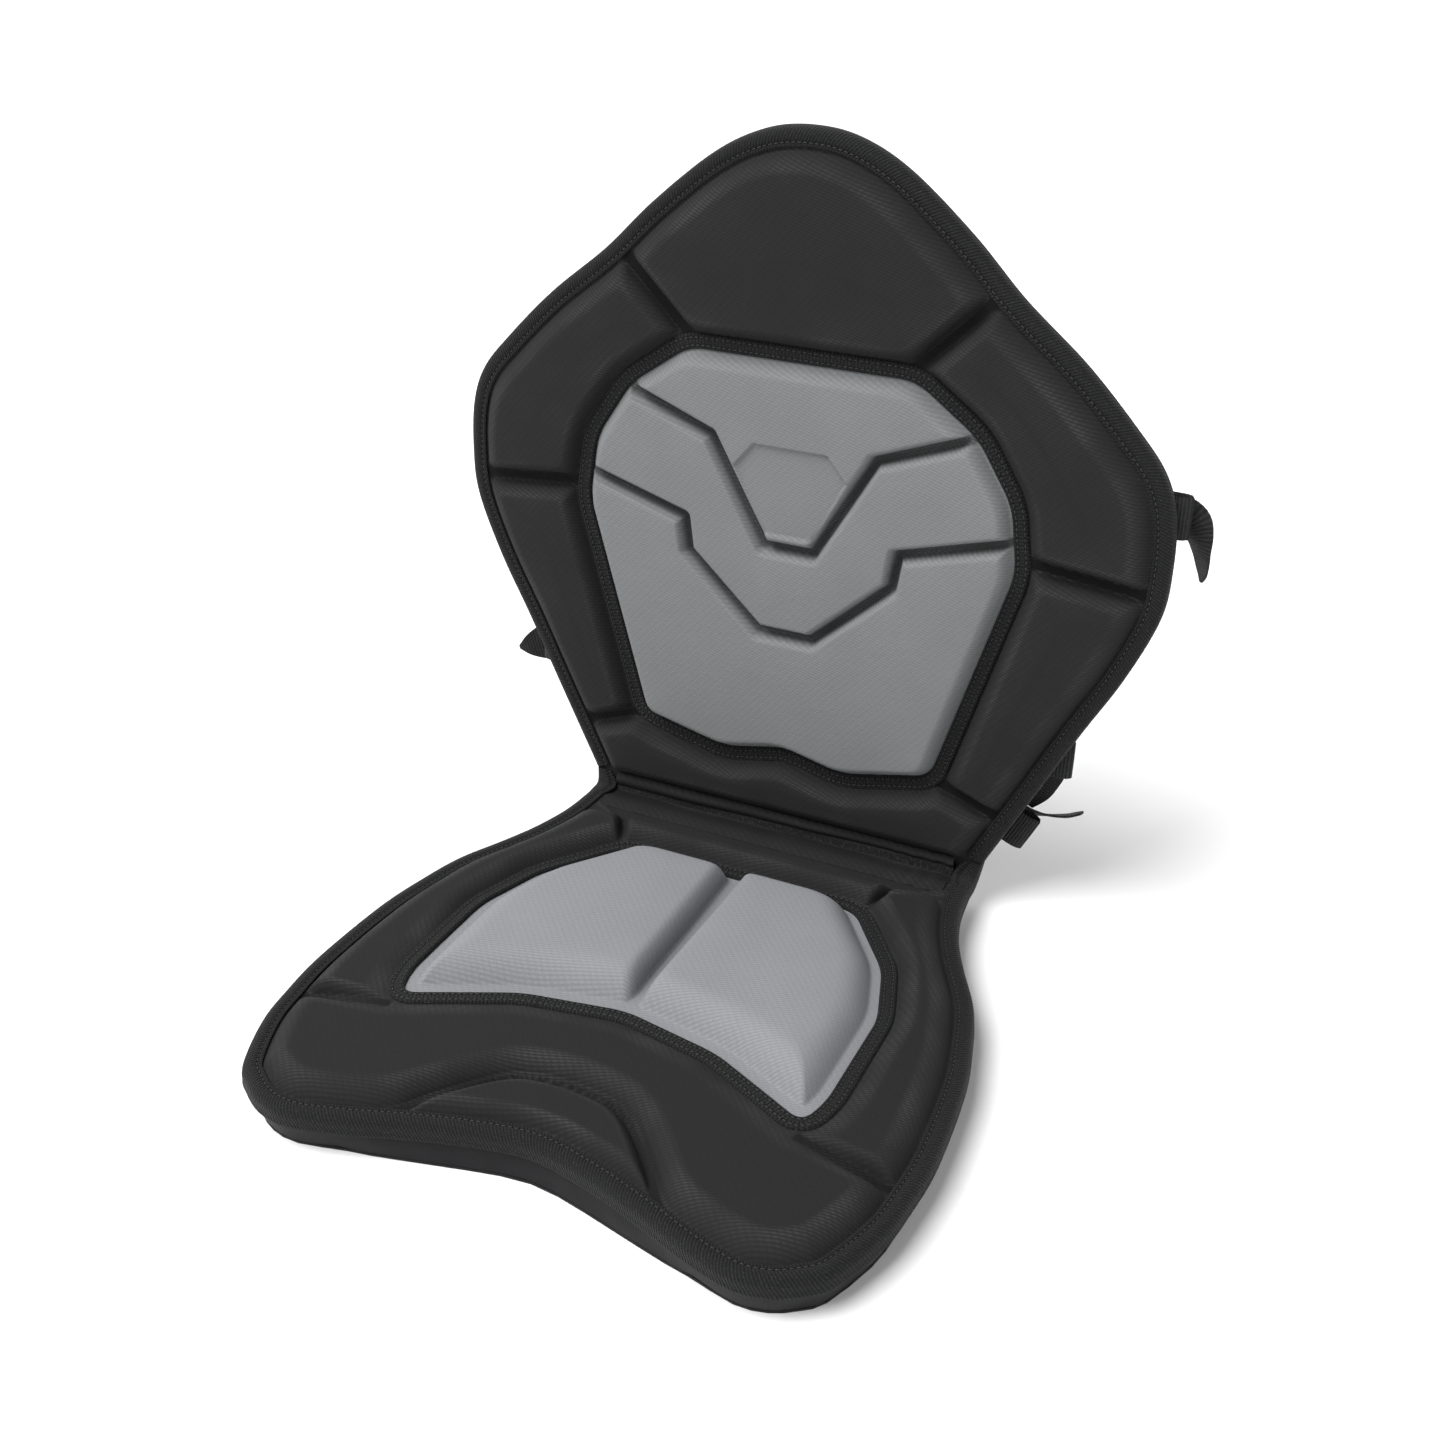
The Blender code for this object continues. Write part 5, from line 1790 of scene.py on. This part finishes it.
@dataclass
class StrapChain:
    """One strap chain behind the backrest: anchor, ladder lock, strap and hook."""

    finishes: Finishes
    backrest: Backrest
    level: Level
    side: Side

    @property
    def tail(self) -> Tail:
        """How this strap's loose end lies."""
        return TAILS[self.level, self.side]

    @property
    def height(self) -> float:
        """The strap's height above the fold."""
        return self.level.value.height

    def edge_x(self) -> float:
        """Half the backrest's width at the strap's height.

        Returns:
            The distance from the middle.
        """
        points = self.backrest.sized(self.backrest.edge_half)
        for (x0, y0), (x1, y1) in zip(points, points[1:]):
            if y0 <= self.height <= y1:
                return x0 + (x1 - x0) * (self.height - y0) / (y1 - y0)
        return points[-1][0]

    def place(self, piece: bpy.types.Object, slot: str, material: bpy.types.Material, node: str) -> None:
        """Puts a right-hand piece on its side of the standing backrest.

        Args:
            piece: The piece.
            slot: The record's material slot; it is not used.
            material: Its material.
            node: The CAD node that it stands for.
        """
        if self.side is Side.LEFT:
            mirror_piece(piece)
        piece.data.transform(FOLD)
        settle(piece, BACK, material, [node])

    def build(self) -> None:
        """Makes the chain's pieces."""
        tag = f"{self.level.name}_{self.side.name}".lower()
        webbing = self.finishes.webbing
        self.place(self.anchor(f"webbing_anchor_{tag}"), "webbing", webbing, f"strap_anchor_{tag}")
        self.place(self.strap(f"webbing_strap_{tag}"), "webbing", webbing, f"strap_{tag}")
        for kind in ("ladder_lock", "snap_hook"):
            self.moulded(f"{kind}_{tag}", f"moulded_{kind}_{tag}")

    def anchor(self, name: str) -> bpy.types.Object:
        """The webbing loop sewn under the rim that holds the ladder lock.

        Args:
            name: The piece's name.

        Returns:
            The loop, on the right.
        """
        x, h, out = self.edge_x(), self.height, self.tail.anchor_out
        path = [(-0.030, -0.01155), (-0.010, -0.01155), (0.000, -0.0118), (out - 0.0024, -0.0130),
                (out, -0.0155), (out - 0.0024, -0.0182), (0.000, -0.0189), (-0.006, -0.0190),
                (-0.0110, -0.01895),
                (-0.0132, -0.0178), (-0.0139, -0.01615), (-0.0132, -0.0145), (-0.0110, -0.01335),
                (-0.006, -0.01325), (-0.002, -0.01325)]
        return Ribbon().build(name, [(x + s, h, w) for s, w in path], [(0, 1, 0)] * len(path))

    def strap(self, name: str) -> bpy.types.Object:
        """The strap: its tail, its way through the lock, its run inwards and its drop.

        Args:
            name: The piece's name.

        Returns:
            The strap, on the right.
        """
        x, h = self.edge_x(), self.height
        corner, end = -self.level.value.run, self.height - self.level.value.drop
        run = [(x + s, h + up, w) for s, up, w in self.tail.run]
        wide, share = list(self.tail.wide), list(self.tail.share)
        through = [(-0.014, -0.0211), (-0.0188, -0.0194), (-0.0208, -0.01905), (-0.0228, -0.0192),
                   (-0.0262, -0.0162), (-0.0294, -0.0135), (-0.034, -0.01325), (corner * 0.6, -0.01325),
                   (corner - 0.0125, -0.01325)]
        run += [(x + s, h, w) for s, w in through]
        wide += [(0, 1, 0)] * len(through)
        pieces = [Ribbon().build(name, run, wide, share + [1.0] * len(through))]
        back, eye, wrap = -0.0147, -0.0176, 0.0029
        fall = [(h + 0.0125, back), (h, back), (h - 0.01, back), ((h + end) / 2, back - 0.0003),
                (end + 0.006, back)]
        fall += [(end - wrap * math.sin(a), eye + wrap * math.cos(a)) for a in np.linspace(-0.2, math.pi, 7)]
        fall += [(end + 0.006, eye - wrap - 0.0001), (end + 0.018, eye - wrap + 0.0010)]
        hung = [(x + corner, up, w) for up, w in fall]
        pieces.append(Ribbon().build(name + "_drop", hung, [(1, 0, 0)] * len(hung)))
        for number, (route, width, cut) in enumerate(self.tail.folded):
            pieces.append(Ribbon().build(f"{name}_fold_{number}", route, width, cut))
        return join_pieces(name, pieces)

    def moulded(self, node: str, name: str) -> None:
        """Rounds the edges of a copy of a moulded node and puts it in the node's place.

        Args:
            node: The CAD node's name.
            name: The new piece's name.
        """
        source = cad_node(node)
        mesh = source.data.copy()
        mesh.transform(source.matrix_world)
        mesh.name = name
        piece = add_object(name, mesh)
        cage = bmesh.new()
        cage.from_mesh(mesh)
        bmesh.ops.remove_doubles(cage, verts=cage.verts, dist=2e-6)
        bmesh.ops.recalc_face_normals(cage, faces=cage.faces)
        bmesh.ops.dissolve_limit(cage, angle_limit=0.02, verts=cage.verts, edges=cage.edges)
        sharp = [edge for edge in cage.edges if edge.is_manifold and edge.calc_face_angle(0) > 0.7]
        bmesh.ops.bevel(cage, geom=sharp, offset=0.0004, segments=2, profile=0.6, affect="EDGES",
                        clamp_overlap=True)
        cage.to_mesh(mesh)
        cage.free()
        mesh.polygons.foreach_set("use_smooth", [True] * len(mesh.polygons))
        mesh.set_sharp_from_angle(angle=math.radians(40))
        settle(piece, BACK, self.finishes.plastic, [node])


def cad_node(name: str) -> bpy.types.Object:
    """The CAD node's object of this name."""
    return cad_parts[name]


@dataclass(frozen=True)
class HiddenLayers:
    """The CAD nodes that stay: the underside, and the foam and board inside."""

    finishes: Finishes

    def dress(self) -> None:
        """Gives each node its material."""
        for name, material in (("seat_bottom_cover", self.finishes.nylon),
                               ("seat_foam_core", self.finishes.foam),
                               ("back_stiffener", self.finishes.board)):
            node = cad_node(name)
            node.data.materials.clear()
            node.data.materials.append(material)
            LOG.info("%s dressed", name)


@dataclass(frozen=True)
class Studio:
    """A pale floor, soft light and a camera at the photograph's view."""

    eye: Triple = (0.3635, -0.6877, 0.6571)
    forward: Triple = (-0.3646, 0.7804, -0.5080)
    lens: float = 43.35
    target: Triple = (0, 0.05, 0.15)
    floor_half: float = 60.0
    floor_level: float = -0.0002
    sun_strength: float = 3.9
    sun_spread_deg: float = 40
    sun_from: Triple = (-0.8, -0.85, 2.1)

    def camera(self) -> None:
        """Makes the camera."""
        data = bpy.data.cameras.new("camera")
        data.lens = self.lens
        data.sensor_width = 36
        data.clip_start = 0.01
        made = add_object("camera", data)
        made.location = self.eye
        made.rotation_mode = "QUATERNION"
        made.rotation_quaternion = Vector(self.forward).to_track_quat("-Z", "Y")
        bpy.context.scene.camera = made

    def floor(self) -> None:
        """Makes the floor."""
        signs = ((-1, -1), (1, -1), (1, 1), (-1, 1))
        corners = np.array([(x * self.floor_half, y * self.floor_half, self.floor_level) for x, y in signs])
        floor = new_mesh("floor", corners, [(0, 1, 2, 3)], False)
        pen = Pen("pale_floor")
        cloud = pen.noise(pen.place(), 0.8)
        floor.data.materials.append(pen.finish(
            Base_Color=pen.blend((0.90, 0.90, 0.90), (0.92, 0.92, 0.92), cloud), Roughness=0.9))

    def lamp(self, name: str, place: Triple, size: float, power: float) -> None:
        """Makes a square soft light that faces the seat.

        Args:
            name: The light's name.
            place: Where it stands.
            size: Its side's length.
            power: Its power in watts.
        """
        data = bpy.data.lights.new(name, "AREA")
        data.size = size
        data.energy = power
        self.aim(data, name, place)

    def sun(self) -> None:
        """Makes the broad overhead light."""
        data = bpy.data.lights.new("overhead", "SUN")
        data.energy = self.sun_strength
        data.angle = math.radians(self.sun_spread_deg)
        self.aim(data, "overhead", self.sun_from)

    def aim(self, data: bpy.types.Light, name: str, place: Triple) -> None:
        """Puts a light in place, facing the seat.

        Args:
            data: The light.
            name: Its object's name.
            place: Where it stands.
        """
        made = add_object(name, data)
        made.location = place
        made.rotation_mode = "QUATERNION"
        made.rotation_quaternion = (Vector(self.target) - Vector(place)).to_track_quat("-Z", "Y")

    def walls(self) -> None:
        """Makes the world: white near the horizon and dimmer overhead."""
        world = bpy.data.worlds.new("studio")
        world.use_nodes = True
        nodes, link = world.node_tree.nodes, world.node_tree.links.new
        where, split, ramp = (nodes.new(kind) for kind in
                              ("ShaderNodeTexCoord", "ShaderNodeSeparateXYZ", "ShaderNodeValToRGB"))
        ramp.color_ramp.elements[0].position = 0.40
        ramp.color_ramp.elements[0].color = (1, 1, 1, 1)
        ramp.color_ramp.elements[1].position = 0.60
        ramp.color_ramp.elements[1].color = (0.12, 0.12, 0.12, 1)
        link(where.outputs["Generated"], split.inputs[0])
        link(split.outputs[2], ramp.inputs[0])
        link(ramp.outputs[0], nodes["Background"].inputs[0])
        bpy.context.scene.world = world

    def build(self) -> None:
        """Makes the whole studio."""
        self.camera()
        self.floor()
        self.walls()
        bpy.context.scene.view_settings.view_transform = "Standard"
        self.sun()
        self.lamp("rim", (-1.2, 1.0, 1.6), 1.2, 16)
        self.lamp("side", (1.7, -0.4, 1.2), 1.4, 6)


def main() -> None:
    """Builds the studio and the seat."""
    logging.basicConfig(level=logging.INFO, format="%(message)s")
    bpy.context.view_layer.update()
    Studio().build()
    finishes = Finishes()
    backrest = Backrest(finishes)
    backrest.build()
    SeatPad(finishes).build()
    HingeStrip(finishes).build()
    WaistTape(finishes).build()
    for side in Side:
        for level in Level:
            StrapChain(finishes, backrest, level, side).build()
    HiddenLayers(finishes).dress()


if __name__ == "__main__":
    main()
